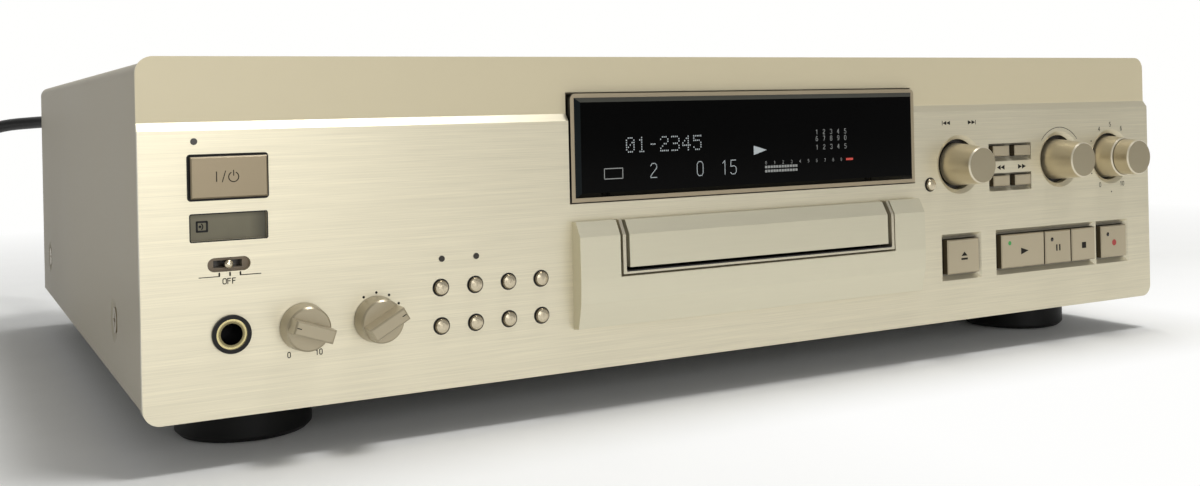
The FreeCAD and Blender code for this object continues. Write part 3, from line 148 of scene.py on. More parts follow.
class Surface:
    """A material made of a principled shader and the nodes that feed it."""

    def __init__(self, name, colour, rough, metal=0.0, **constant):
        self.material = bpy.data.materials.new(name)
        self.material.use_nodes = True
        self.tree = self.material.node_tree
        self.shader = self.tree.nodes["Principled BSDF"]
        self.feed("Base Color", colour)
        self.feed("Roughness", rough)
        self.feed("Metallic", metal)
        for key, value in constant.items():
            self.feed(key.replace("_", " ").title().replace("Ior", "IOR"), value)

    def node(self, kind, output, inputs=None, **settings):
        """A node with its inputs given by name or number, as the value of one output."""
        made = self.tree.nodes.new(kind)
        for key, value in settings.items():
            setattr(made, key, value)
        for key, value in (inputs or {}).items():
            self.plug(made.inputs[key], value)
        return Value(self, made.outputs[output])

    def plug(self, socket, value):
        if isinstance(value, Value):
            self.tree.links.new(value.socket, socket)
        elif isinstance(value, tuple) and socket.type == "RGBA":
            socket.default_value = (*value[:3], 1.0)
        else:
            socket.default_value = value

    def feed(self, name, value):
        self.plug(self.shader.inputs[name], value)

    def place(self):
        return self.node("ShaderNodeTexCoord", "Object")

    def axis(self, name):
        return self.node("ShaderNodeSeparateXYZ", name, {0: self.place()})

    def level(self, name):
        """An axis of the panel's frame, in millimetres."""
        start = {"X": 0.0, "Y": FACE.y, "Z": FACE.z}[name]
        return (self.axis(name) - start) / MM

    def normal(self, name):
        """How far a face looks along an axis."""
        facing = self.node("ShaderNodeNewGeometry", "True Normal")
        return self.node("ShaderNodeSeparateXYZ", name, {0: facing})

    def frontal(self):
        """One where a face looks to the front, none on walls."""
        return (self.normal("Y") * -1.0).ramp(0.35, 0.8)

    def stretched(self, scale):
        """The object's coordinates times three factors."""
        return self.node("ShaderNodeVectorMath", "Vector", {0: self.place(), 1: scale},
                         operation="MULTIPLY")

    def noise(self, scale, detail=2.0):
        """Noise from none to one, stretched by a scale for each axis."""
        return self.node("ShaderNodeTexNoise", 0, {"Vector": self.stretched(scale), "Scale": 1.0,
                                                   "Detail": detail, "Roughness": 0.55})

    def mix(self, amount, first, second):
        """A colour between two, by an amount."""
        made = self.tree.nodes.new("ShaderNodeMix")
        made.data_type = "RGBA"
        self.plug(made.inputs[0], amount)
        self.plug(made.inputs[6], first)
        self.plug(made.inputs[7], second)
        return Value(self, made.outputs[2])

    def bump(self, height, distance):
        """A relief of a given depth in metres."""
        self.feed("Normal", self.node("ShaderNodeBump", "Normal",
                                      {"Strength": 1.0, "Distance": distance, "Height": height}))
        return self


def brushed(name, colour, rough, metal, grain=(30, 900, 2600), spread=0.06):
    """Metal with fine lines along X: noise that changes slowly along X and fast across it."""
    surface = Surface(name, colour, rough, metal)
    lines = surface.noise(grain, 3.0)
    contrast = 12.0 * spread
    tone = surface.mix((lines - 0.5) * contrast + 0.5,
                       scaled(colour, 1 - spread), scaled(colour, 1 + spread))
    surface.feed("Base Color", tone)
    surface.feed("Roughness", rough + (lines - 0.5) * 0.12)
    return surface.bump(lines, 0.01 * MM)


def satin(name, colour, rough, metal=0.0, speck=2200.0, depth=0.008 * MM, spread=0.04, walls=None,
          **constant):
    """A fine even grain, with slow drifts of tone and gloss over it, and walls in a colour of painted
    shade.
    """
    surface = Surface(name, colour, rough, metal, **constant)
    fine = surface.noise((speck,) * 3)
    slow = surface.noise((14.0,) * 3)
    tone = surface.mix(slow, scaled(colour, 1 - spread), scaled(colour, 1 + spread))
    # Faces that do not look to the front get a painted shade colour
    if walls:
        tone = surface.mix(surface.frontal(), walls, tone)
    surface.feed("Base Color", tone)
    surface.feed("Roughness", rough + (slow - 0.5) * 0.08 + (fine - 0.5) * 0.06)
    return surface.bump(fine, depth)


RING_PITCH = 0.35
MOUTH_DEPTH = 0.4
CHAMFER_SHADE_WIDTH = 0.55
HIGHLIGHT = paint(244, 236, 214)
BORE_SHADE = (0.002, 0.002, 0.002)


def lathed(name, colour, rough, centre, bore=None, metal=1.0):
    """Turned metal: fine rings about an axis along Y, from the sine of the distance to that axis.

    A bore is the radius inside which the metal is painted black as shade below its mouth, with a darker
    painted shade on a ring just round it. Without one, the face gets a darker painted shade than the
    sides, and the edge between them a painted highlight.
    """
    surface = Surface(name, colour, rough, metal, specular_ior_level=0.1)
    across = surface.axis("X") - centre[0]
    level = surface.axis("Z") - centre[2]
    reach = (across * across + level * level) ** 0.5
    rings = (reach * (2 * math.pi / (RING_PITCH * MM))).math("SINE") * surface.frontal()
    fine = surface.noise((1500.0, 500.0, 1500.0))
    surface.feed("Roughness", rough + (fine - 0.5) * 0.06 + rings * 0.02)
    tone = surface.mix(fine, scaled(colour, 0.97), scaled(colour, 1.03))
    if bore:
        # Painted shade: black in the bore below its mouth, darker on a ring round it
        deep = (surface.axis("Y") - FACE.y).above(MOUTH_DEPTH * MM)
        inside = reach.math("LESS_THAN", bore * MM) * deep
        edge = 1.0 - (reach / MM).ramp(bore, bore + CHAMFER_SHADE_WIDTH)
        tone = surface.mix(edge, tone, scaled(colour, 0.3))
        tone = surface.mix(inside, tone, BORE_SHADE)
        surface.feed("Metallic", (1.0 - inside) * metal)
    else:
        # Painted shade on the face, and a painted highlight on the edge between face and sides
        facing = surface.frontal()
        tone = surface.mix(facing, tone, scaled(colour, 0.74))
        edge = facing * (1.0 - facing) * 4.0
        tone = surface.mix(edge * 0.8, tone, HIGHLIGHT)
    surface.feed("Base Color", tone)
    return surface.bump(rings, 0.002 * MM)


PANEL = paint(222, 214, 189)
BAND = paint(209, 198, 167)
SHADE = paint(40, 34, 26)
BEVEL_TOP = 87.0
WELLS_TOP = 84.5


def panel_material():
    """Brushed below, smooth satin above the bevel, told apart by height, with painted shade in its holes
    and on faces that look up at the bevel's height and above.
    """
    surface = Surface("panel_champagne", PANEL, 0.36, 0.6)
    height = surface.level("Z")
    upper = height.ramp(BEVEL_TOP, BEVEL_TOP + 0.2)
    lines = surface.noise((36, 400, 3400), 3.0)
    wide = surface.noise((16, 300, 1400))
    streak = ((lines * 0.65 + wide * 0.35 - 0.5) * 2.2 + 0.5).clear()
    low = surface.mix(streak, scaled(PANEL, 0.87), scaled(PANEL, 1.1))
    fine = surface.noise((1900.0,) * 3)
    # Holes get a painted shade, except their mouths' walls that look up or to the left, which are left
    # lit
    deep = surface.level("Y")
    hole_shade = deep.ramp(1.25, 2.0) * (1.0 - height.ramp(WELLS_TOP, WELLS_TOP + 0.3))
    leftward = (surface.normal("X") * -1.0).ramp(0.4, 0.8) * 0.5
    lit_walls = surface.normal("Z").ramp(0.4, 0.8).math("MAXIMUM", leftward)
    hole_shade = hole_shade * (1.0 - lit_walls * (1.0 - deep.ramp(4.0, 6.0)))
    # The timer switch slides in a recess whose painted shade is of a lighter tone
    slot = surface.level("X").within(-199.0, -181.0) * height.within(42.0, 49.0)
    inner = surface.mix(slot, SHADE, paint(118, 102, 80))
    flat = surface.mix(upper, low, BAND)
    # Faces that look up at the bevel's height and above get a painted shade
    bevel = surface.normal("Z").ramp(0.3, 0.6) * height.ramp(80.0, 81.0)
    flat = surface.mix(bevel, flat, scaled(PANEL, 0.93))
    surface.feed("Base Color", surface.mix(hole_shade, flat, inner))
    surface.feed("Metallic", (1.0 - hole_shade) * (0.62 - upper * 0.47))
    surface.feed("Roughness", 0.36 + (lines - 0.5) * 0.14 * (1.0 - upper) + upper * 0.08)
    return surface.bump(lines * (1.0 - upper) + fine * upper * 0.4, 0.000012)


def glass_material():
    """Black glass with a painted highlight on its upper bevel and a dim painted reflection on its
    left-facing bevel.
    """
    black = paint(5, 5, 5)
    surface = Surface("display_black", black, 0.1, 0.0, specular_ior_level=0.06)
    # Painted highlight on faces that look up, dim painted reflection on faces that look left
    upward = surface.normal("Z").ramp(0.15, 0.35)
    leftward = (surface.normal("X") * -1.0).ramp(0.15, 0.35)
    smoke = surface.noise((60.0,) * 3)
    edge = surface.mix(upward, surface.mix(leftward, black, paint(26, 32, 34)), paint(70, 70, 64))
    surface.feed("Base Color", surface.mix(smoke * 0.2, edge, paint(7, 7, 8)))
    return surface


def rim_material():
    """A bright outer line, and an inner one painted near black as the shade of the gap next to the
    tray's door, told apart by the distance from the door.
    """
    surface = Surface("rim_lines", paint(206, 198, 176), 0.24, 0.7)
    low, high = reach_of("tray_door")
    middle = (low[0] + high[0]) / 2
    aside = (surface.level("X") - middle).math("ABSOLUTE") - (high[0] - low[0]) / 2
    below = low[2] - surface.level("Z")
    away = aside.math("MAXIMUM", below)
    fine = surface.noise((1500.0,) * 3)
    # Near the door the rim is painted near black as shade
    bright = away.ramp(1.4, 1.5)
    surface.feed("Base Color", surface.mix(bright, paint(14, 11, 8), surface.mix(
        fine, paint(196, 188, 166), paint(220, 212, 190))))
    surface.feed("Metallic", bright * 0.7)
    return surface


def window_material():
    """Smoked plastic with painted shade towards its right end and its upper edge, and a slow cloud of
    tone.
    """
    surface = Surface("window_smoke", paint(104, 100, 82), 0.2, 0.0, specular_ior_level=0.3)
    low, high = reach_of("sensor_window")
    across = surface.level("X")
    # Painted shade towards the right end and under the upper edge
    ends = 1.0 - across.ramp(high[0] - 6.0, high[0] - 1.5) * 0.6
    top = 1.0 - surface.level("Z").ramp(high[2] - 2.4, high[2] - 1.0) * 0.35
    cloud = surface.noise((90.0,) * 3)
    unshaded_and_cloud = ends * top * (0.8 + cloud * 0.2)
    surface.feed("Base Color", surface.mix(unshaded_and_cloud, paint(40, 38, 30), paint(122, 117, 96)))
    return surface


def lever_material():
    """A bright ball on a plate that is painted dark as shade where it lies deep in its slot."""
    surface = Surface("lever_metal", paint(206, 196, 172), 0.22, 0.8)
    # Painted shade on the parts deep in the slot
    deep = surface.level("Y").ramp(0.4, 0.9)
    fine = surface.noise((1500.0,) * 3)
    bright = surface.mix(fine, paint(200, 188, 162), paint(214, 204, 180))
    surface.feed("Base Color", surface.mix(deep, bright, paint(52, 43, 32)))
    surface.feed("Metallic", (1.0 - deep) * 0.8)
    return surface


JACK = (-189.8, 0, 24.5)
JACK_BORE = 3.6
FINE_GRAIN = (60, 800, 1500)
MATERIALS = {
    "panel": panel_material(),
    "cover": satin("cover_paint", paint(167, 159, 140), 0.5, 0.0, spread=0.05, speck=1400.0,
                   depth=0.02 * MM, specular_ior_level=0.2),
    "steel": brushed("plated_steel", paint(150, 150, 148), 0.38, 0.9),
    "foot": satin("foot_plastic", paint(16, 16, 15), 0.5, specular_ior_level=0.2),
    "rubber": satin("pad_rubber", paint(16, 16, 16), 0.8),
    "trim": brushed("trim_metal", paint(150, 140, 118), 0.36, 0.6),
    # The frame's walls are painted near black as shade
    "frame": satin("frame_champagne", paint(172, 158, 132), 0.34, 0.4, walls=paint(9, 8, 6)),
    "housing": brushed("housing_champagne", paint(214, 208, 184), 0.36, 0.5, FINE_GRAIN, 0.05),
    "door": brushed("door_champagne", paint(212, 206, 182), 0.34, 0.5, FINE_GRAIN, 0.05),
    "glass": glass_material(),
    "tube": satin("tube_black", paint(14, 14, 15), 0.3),
    "rim": rim_material(),
    "window": window_material(),
    "lever": lever_material(),
    "lamp": satin("lamp_dark", paint(40, 34, 26), 0.25, 0.0, depth=0.0),
    "gold": lathed("jack_gold", paint(214, 200, 148), 0.22, at(*JACK), bore=JACK_BORE),
    "socket_gold": satin("socket_gold", paint(222, 196, 130), 0.25, 1.0),
    "black": satin("black_plastic", paint(18, 17, 16), 0.45, specular_ior_level=0.25),
    "board": satin("board_green", paint(38, 74, 42), 0.5),
    "core": satin("core_varnish", paint(62, 56, 50), 0.5),
    "white": satin("nylon_white", paint(212, 210, 200), 0.5),
    # The walls of the keys, the power key and the round buttons are painted darker as shade
    "key": satin("key_champagne", paint(184, 172, 146), 0.3, 0.5, spread=0.05, walls=paint(84, 74, 56)),
    "power": satin("power_champagne", paint(146, 132, 106), 0.32, 0.4, walls=paint(20, 16, 12)),
    "knob": satin("knob_champagne", paint(170, 159, 134), 0.3, 0.45, depth=0.0),
    "button": satin("button_champagne", paint(204, 192, 166), 0.24, 0.7, depth=0.0,
                    walls=paint(80, 68, 50)),
    "cord": satin("cord_sheath", paint(17, 17, 17), 0.42, speck=1500.0, depth=0.03 * MM),
    "print": satin("print_dark", paint(28, 24, 18), 0.55, depth=0.0, specular_ior_level=0.2),
    # Dark for the painted shade of gaps, and for print
    "gap": satin("gap_shade_and_print", paint(16, 13, 10), 0.7, depth=0.0),
    "chrome": satin("blade_nickel", paint(205, 203, 196), 0.22, 1.0, spread=0.02),
}


def glowing(name, colour, strength):
    """A lit segment: even light that falls off a little by noise."""
    surface = Surface(name, colour, 0.4)
    tone = surface.mix(surface.noise((700.0,) * 3, 1.0), scaled(colour, 0.85), colour)
    surface.feed("Emission Color", tone)
    surface.feed("Emission Strength", strength)
    return surface


MATERIALS["lit"] = glowing("segment_lit", paint(150, 156, 158), 0.4)
MATERIALS["lit_dim"] = glowing("segment_dim", paint(128, 130, 128), 0.26)
MATERIALS["lit_red"] = glowing("segment_red", paint(180, 62, 52), 0.3)
MATERIALS["green"] = glowing("lamp_green", paint(58, 146, 70), 0.12)
MATERIALS["red"] = satin("print_red", paint(170, 62, 58), 0.45, depth=0.0)
MATERIALS["orange"] = satin("print_orange", paint(206, 122, 52), 0.45, depth=0.0)

NODE_MATERIALS = {
    "front_panel": "panel", "top_cover": "cover", "chassis_base": "steel", "rear_panel": "steel",
    "case_screws": "trim", "feet": "foot", "foot_pads": "rubber", "display_frame": "frame",
    "display_glass": "glass", "display_module": "tube", "tray_surround": "housing", "tray_rim": "rim",
    "sensor_window": "window", "led_lenses": "lamp", "phones_jack": "gold", "phones_nut": "black",
    "control_pots": "steel", "circuit_boards": "board", "power_transformer": "core",
    "loader_frame": "black", "loading_motor": "steel", "drive_belt": "rubber", "disc_drive": "steel",
    "rca_jacks": "socket_gold", "optical_jacks": "black", "cord_gland": "cord", "cord_lead": "cord",
    "cord_coil": "cord", "cord_plug": "cord", "tray": "black", "tray_door": "door",
    "tray_gear": "white", "motor_pulley": "white", "jog_shaft": "steel", "power_button": "power",
    "timer_lever": "lever", "phone_level_knob": "knob", "input_knob": "knob",
}
JOG, DIGITAL, ANALOG = 101.0, 158.8, 190.7
KNOB_LEVEL = 63.1
KNOBS = {"jog_knob": JOG, "digital_level_knob": DIGITAL, "analog_outer_knob": ANALOG,
         "analog_inner_knob": ANALOG}
for name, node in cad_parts.items():
    surface = MATERIALS[NODE_MATERIALS.get(name, "button" if name.endswith("_button") else "key")]
    # Knobs: turned metal with a painted shade on the face and a painted highlight on its edge
    if name in KNOBS:
        centre = at(KNOBS[name], 0, KNOB_LEVEL)
        surface = lathed(name + "_metal", paint(200, 188, 160), 0.32, centre, metal=0.7)
    node.data.materials.clear()
    node.data.materials.append(surface.material)


# Meshes from faces, surfaces and outlines
def add_mesh(name, points, faces, material, body, smooth=False):
    """A mesh object of the panel's frame that rides on a body."""
    places = np.asarray(points, float) * MM + np.array((0.0, FACE.y, FACE.z))
    mesh = bpy.data.meshes.new(name)
    mesh.from_pydata(places.tolist(), [], faces)
    mesh.materials.append(MATERIALS[material].material)
    if smooth:
        mesh.shade_smooth()
    piece = bpy.data.objects.new(name, mesh)
    bpy.context.scene.collection.objects.link(piece)
    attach(piece, body)
    return piece


def grid_faces(rows, columns):
    """Quads between neighbouring points of a grid that closes on itself along its columns."""
    here = np.arange(rows * columns).reshape(rows, columns)
    after = np.roll(here, -1, axis=1)
    return np.stack([here[:-1], after[:-1], after[1:], here[1:]], axis=-1).reshape(-1, 4).tolist()


def round_spot(x, z, radius, sides=20):
    """A disc as a polygon: sine and cosine of even angles."""
    angles = np.linspace(0, 2 * math.pi, sides, endpoint=False)
    return np.column_stack([x + radius * np.sin(angles), z - radius * np.cos(angles)])


def ribbon(path, width):
    """Flat pieces that cover a drawn line: an oblong for each run and a disc at each corner.

    An oblong's corners are a run's ends, moved half the width to either side along its normal.
    """
    spots = np.asarray(path, float)
    start = spots[:-1]
    end = spots[1:]
    along = end - start
    normal = np.column_stack([-along[:, 1], along[:, 0]])
    side = normal / np.linalg.norm(along, axis=1)[:, None] * width / 2
    runs = np.stack([start + side, start - side, end - side, end + side], axis=1)
    return list(runs) + [round_spot(x, z, width / 2, 8) for x, z in path]


def arc_path(x, z, radius, start, end, steps=24):
    """Points of an arc whose angles are counted clockwise from straight up, in degrees."""
    angles = np.radians(np.linspace(start, end, steps))
    return np.column_stack([x + radius * np.sin(angles), z + radius * np.cos(angles)])


def oblong(x0, z0, x1, z1):
    """The corners of an oblong, from its lower left."""
    return [(x0, z0), (x1, z0), (x1, z1), (x0, z1)]


def rounded(x0, z0, x1, z1, radius):
    """An oblong's outline with arcs at its corners, counterclockwise from its lower right."""
    angles = np.radians(np.linspace(-90, 0, 7))
    centres = [(x1 - radius, z0 + radius), (x1 - radius, z1 - radius), (x0 + radius, z1 - radius),
               (x0 + radius, z0 + radius)]
    arcs = [np.column_stack([x + radius * np.cos(angles + k * math.pi / 2),
                             z + radius * np.sin(angles + k * math.pi / 2)])
            for k, (x, z) in enumerate(centres)]
    return np.concatenate(arcs)


def band(inner, outer):
    """Quads between two outlines of as many points."""
    return list(np.stack([outer, np.roll(outer, -1, axis=0), np.roll(inner, -1, axis=0), inner], axis=1))


# Numbers and letters as drawn lines in a field 2 wide and 4 high
STROKES = {
    "0": [[(0.5, 0), (0, 0.7), (0, 3.3), (0.5, 4), (1.5, 4), (2, 3.3), (2, 0.7), (1.5, 0), (0.5, 0)]],
    "1": [[(0.4, 3.2), (1.2, 4), (1.2, 0)]],
    "2": [[(0, 3.3), (0.5, 4), (1.5, 4), (2, 3.4), (2, 2.7), (0, 0.5), (0, 0), (2, 0)]],
    "3": [[(0, 3.4), (0.5, 4), (1.5, 4), (2, 3.4), (2, 2.7), (1.4, 2.1), (2, 1.4), (2, 0.6), (1.5, 0),
           (0.5, 0), (0, 0.6)]],
    "4": [[(1.5, 0), (1.5, 4), (0, 1.3), (2, 1.3)]],
    "5": [[(1.9, 4), (0.2, 4), (0.1, 2.2), (1.4, 2.4), (2, 1.8), (2, 0.6), (1.5, 0), (0.5, 0),
           (0, 0.5)]],
    "6": [[(1.7, 3.8), (0.9, 4), (0.1, 2.8), (0, 0.7), (0.5, 0), (1.5, 0), (2, 0.7), (2, 1.7),
           (1.5, 2.3), (0.5, 2.3), (0, 1.7)]],
    "7": [[(0, 4), (2, 4), (0.8, 0)]],
    "8": [[(0.5, 2.1), (0, 2.8), (0, 3.4), (0.5, 4), (1.5, 4), (2, 3.4), (2, 2.8), (1.5, 2.1),
           (0.5, 2.1), (0, 1.4), (0, 0.6), (0.5, 0), (1.5, 0), (2, 0.6), (2, 1.4), (1.5, 2.1)]],
    "9": [[(0.3, 0.2), (1.1, 0), (1.9, 1.2), (2, 3.3), (1.5, 4), (0.5, 4), (0, 3.3), (0, 2.3),
           (0.5, 1.7), (1.5, 1.7), (2, 2.3)]],
    "O": [[(0.5, 0), (0, 0.7), (0, 3.3), (0.5, 4), (1.7, 4), (2.2, 3.3), (2.2, 0.7), (1.7, 0),
           (0.5, 0)]],
    "F": [[(0, 0), (0, 4), (1.9, 4)], [(0, 2.1), (1.6, 2.1)]],
}


def written(text, x, z, height, line, middle=False, wide=1.0):
    """Numbers and letters as drawn lines, from a lower left corner or about a middle."""
    unit = height / 4
    step = unit * 3.1 * wide
    if middle:
        x -= (len(text) * step - unit * 1.1) / 2
        z -= height / 2
    shapes = []
    for place, letter in enumerate(text):
        for path in STROKES[letter]:
            shapes += ribbon(np.asarray(path) * (unit * wide, unit) + (x + place * step, z), line)
    return shapes


def marks(name, shapes, y, material, body="deck"):
    """Flat printed shapes on a plane that faces the front."""
    flat = np.concatenate([np.asarray(shape, float) for shape in shapes])
    ends = np.cumsum([len(shape) for shape in shapes])
    faces = [list(range(end - len(shape), end)) for shape, end in zip(shapes, ends.tolist())]
    points = np.column_stack([flat[:, 0], np.full(len(flat), y), flat[:, 1]])
    return add_mesh(name, points, faces, material, body)


def arrow(x, z, width, height):
    """A triangle that points to the right, or to the left where its width is negative."""
    return [(x, z - height / 2), (x + width, z), (x, z + height / 2)]


# Cord: its line has the lead's route and then the coil's turns
CORD_DIAMETER = 6.6
COIL_CENTRE = (-307.8, 262.0)
COIL_OUTER = 48.4
COIL_PITCH = 7.3
COIL_LOW = -11.4
TURNS = 3
STEPS = 14
LEAD = [(-186, 339.1, 88.2), (-188, 370, 88.3), (-206, 397, 88.4), (-236, 408, 86), (-262, 407, 68),
        (-274, 399, 38), (-273, 380, 9), (-267, 350, -8.5), (-259.4, 318, COIL_LOW)]


def coil_points():
    """Turns inwards on the floor and back outwards on top of them.

    The radius falls and rises by one pitch each turn. The height is one pitch more after a climb
    during the half turn in the middle. Points are set wide, by about one over the cosine of half a
    step, so that the smooth line between them has the stated radius.
    """
    widen = 1 / math.cos(math.pi / STEPS) * 0.994
    turned = np.arange(1, int((2 * TURNS + 0.5) * STEPS) + 1) / STEPS
    climb = np.clip((turned - TURNS) / 0.5, 0.0, 1.0)
    shrink = np.minimum(turned, TURNS) - np.maximum(turned - TURNS - 0.5, 0.0)
    radius = (COIL_OUTER - COIL_PITCH * (shrink + 0.25)) * widen
    angle = -2 * math.pi * turned
    x = COIL_CENTRE[0] + radius * np.cos(angle)
    y = COIL_CENTRE[1] + radius * np.sin(angle)
    z = COIL_LOW + COIL_PITCH * climb * climb * (3 - 2 * climb)
    return np.column_stack([x, y, z]).tolist()


# The line's far end, at the plug's neck
TAIL = (-356.25, 306.0, -4.1)
route = LEAD + coil_points()
route += [(TAIL[0], 275.0, TAIL[2]), (TAIL[0], 290.0, TAIL[2]), TAIL]
cord_curve = bpy.data.curves.new("mains_cord", "CURVE")
cord_curve.dimensions = "3D"
spline = cord_curve.splines.new("NURBS")
spline.points.add(len(route) - 1)
for point, place in zip(spline.points, route):
    point.co = (*at(*place), 1.0)
spline.order_u = 3
spline.use_endpoint_u = True
cord_curve.bevel_depth = CORD_DIAMETER / 2 * MM
cord_curve.bevel_resolution = 6
cord_curve.resolution_u = 8
cord_curve.materials.append(MATERIALS["cord"].material)
cord = bpy.data.objects.new("mains_cord", cord_curve)
bpy.context.scene.collection.objects.link(cord)
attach(cord, "deck")
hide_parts("cord_lead", "cord_coil")


PLUG_LENGTH = 34.0
NECK = 0.18


def plug_body():
    """A moulded plug: rounded oblong sections along Y, narrow at the neck, full at the blades' end.

    Each section is a superellipse, |x/a|^n + |z/b|^n = 1, and a, b and n follow the way along. Ridges
    across the neck come from a sine, and the neck is a share of the length.
    """
    rows = 46
    columns = 48
    way = np.linspace(0, 1, rows)[:, None]
    angle = np.linspace(0, 2 * math.pi, columns, endpoint=False)[None, :]
    rise = np.clip((way - NECK) / 0.22, 0.0, 1.0)
    rise = rise * rise * (3 - 2 * rise)
    grip = np.where(way < NECK, 0.25 * np.sin(way / NECK * 8 * math.pi), 0.0)
    close = 1 - 0.09 * np.maximum(0.0, (way - 0.93) / 0.07) ** 2
    wide = (5.0 + 7.3 * rise + grip) * close
    tall = (5.0 + 5.4 * rise + grip) * close
    power = 2 / (2.0 + 3.0 * rise)
    x = TAIL[0] + wide * np.sign(np.cos(angle)) * np.abs(np.cos(angle)) ** power
    z = TAIL[2] + tall * np.sign(np.sin(angle)) * np.abs(np.sin(angle)) ** power
    y = TAIL[1] + PLUG_LENGTH * way + 0 * angle
    faces = grid_faces(rows, columns)
    faces += [list(range(columns))[::-1], list(range((rows - 1) * columns, rows * columns))]
    points = np.stack([x, y, z], axis=-1).reshape(-1, 3)
    return add_mesh("mains_plug", points, faces, "cord", "deck", smooth=True)


def plug_blade(name, side):
    """A flat blade with a pointed tip."""
    x = TAIL[0] + side * 6.35
    outline = [(339.0, -3.15), (355.5, -3.15), (356.9, -1.8), (356.9, 1.8), (355.5, 3.15), (339.0, 3.15)]
    points = [(x + aside, y, TAIL[2] + z) for aside in (-0.75, 0.75) for y, z in outline]
    count = len(outline)
    faces = [tuple(range(count)), tuple(range(count, 2 * count))[::-1]]
    faces += [(k, (k + 1) % count, count + (k + 1) % count, count + k)[::-1] for k in range(count)]
    return add_mesh(name, points, faces, "chrome", "deck")


plug = plug_body()
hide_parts("cord_plug")
blades = [plug_blade("plug_blade_left", -1), plug_blade("plug_blade_right", 1)]
at(*LEAD[0])

# Printed marks on the lower panel
PRINT = -0.03
# Search keys: two arrows at each
panel_marks = [arrow(126.1, 60.9, -2.2, 2.0), arrow(123.9, 60.9, -2.2, 2.0)]
panel_marks += [arrow(133.9, 60.9, 2.3, 2.0), arrow(136.2, 60.9, 2.3, 2.0)]
# Timer switch: a tick over each place and the line that leads to it
for x in (-192.9, -189.8, -186.8):
    panel_marks += ribbon([(x, 42.6), (x, 41.8)], 0.5)
for x, end in ((-192.9, -198.7), (-186.8, -180.8)):
    panel_marks += ribbon([(x, 41.7), (end, 41.7)], 0.26)
panel_marks += written("OFF", -191.9, 39.4, 1.55, 0.28, wide=1.15)
# Headphone level: the numbers of its ends
panel_marks += written("0", -172.9, 16.4, 1.6, 0.28, True) + written("10", -163.8, 16.4, 1.6, 0.28, True)
# Input selector: a dot for each place
for spot in ((-149.4, 31.7), (-145.3, 32.8), (-141.2, 31.7), (-138.1, 28.8)):
    panel_marks.append(round_spot(*spot, 0.42))
# Analogue level: numbers and dots round the recess, and a dot below it
SCALE_RADIUS = 14.1
for number in range(11):
    angle = math.radians(-150 + 30 * number)
    x = ANALOG + SCALE_RADIUS * math.sin(angle)
    z = KNOB_LEVEL + SCALE_RADIUS * math.cos(angle)
    if number in (0, 4, 5, 6, 10):
        panel_marks += written(str(number), x, z, 1.8, 0.26, True)
    else:
        panel_marks.append(round_spot(x, z, 0.33))
panel_marks.append(round_spot(190.8, 47.6, 0.35))
# Digital level: an arc over the recess
panel_marks += ribbon(arc_path(DIGITAL, KNOB_LEVEL, 13.6, -52, 52), 0.24)
# Jog: skip symbols over the recess, each two arrows and a bar
SKIP_LEVEL = 80.0
for way, x in ((-1, 96.2), (1, 106.0)):
    panel_marks += [arrow(x + step * way, SKIP_LEVEL, 2.0 * way, 1.7) for step in (0, 2.0)]
    bar = x + 4.2 * way
    panel_marks += ribbon([(bar, SKIP_LEVEL - 0.8), (bar, SKIP_LEVEL + 0.8)], 0.3)
marks("panel_print", panel_marks, PRINT, "print")

# Gaps: a dark line of painted shade round the power key, the receiver window and each round button
LEFT_COLUMN = -189.75
BUTTON_COLUMNS = (-123.9, -112.05, -100.2, -88.35)
ROUND_BUTTONS = [(x, z) for x in BUTTON_COLUMNS for z in (32.5, 20.2)] + [(84.9, 55.6)]
BUTTON_RADIUS = 2.35
gap_shades = []
for level, wide, high, thick in ((70.9, 22.2, 12.2, 0.75), (56.2, 22.1, 7.7, 0.35)):
    corners = (LEFT_COLUMN - wide / 2, level - high / 2, LEFT_COLUMN + wide / 2, level + high / 2)
    outer = (corners[0] - thick, corners[1] - thick, corners[2] + thick, corners[3] + thick)
    gap_shades += band(rounded(*corners, 0.3), rounded(*outer, 0.3 + thick))
for spot in ROUND_BUTTONS:
    gap_shades += band(round_spot(*spot, BUTTON_RADIUS + 0.1, 32), round_spot(*spot, BUTTON_RADIUS + 0.5, 32))
marks("gap_shade_lines", gap_shades, PRINT, "gap")

# Display: rows of lit dots, numbers, a level scale and a number field
DOTS = {
    "0": "01110 10001 10011 10101 11001 10001 01110", "1": "00100 01100 00100 00100 00100 00100 01110",
    "2": "01110 10001 00001 00110 01000 10000 11111", "3": "11110 00001 00001 01110 00001 00001 11110",
    "4": "00010 00110 01010 10010 11111 00010 00010", "5": "11111 10000 11110 00001 00001 10001 01110",
    "-": "00000 00000 00000 01110 00000 00000 00000",
}


def dotted(text, x, z, width, height):
    """Numbers in a field of five by seven dots."""
    shapes = []
    for place, letter in enumerate(text):
        for row, line in enumerate(DOTS[letter].split()):
            for column, lit in enumerate(line):
                if lit == "1":
                    left = x + place * width * 1.24 + column * width / 5
                    low = z + (6 - row) * height / 7
                    shapes.append(oblong(left, low, left + width / 9, low + height / 12))
    return shapes


GLASS = -2.23
GLASS_SHIFT = -1.1


def shifted(shapes):
    """Shapes moved to where the line of sight meets the glass."""
    return [[(x + GLASS_SHIFT, z) for x, z in shape] for shape in shapes]


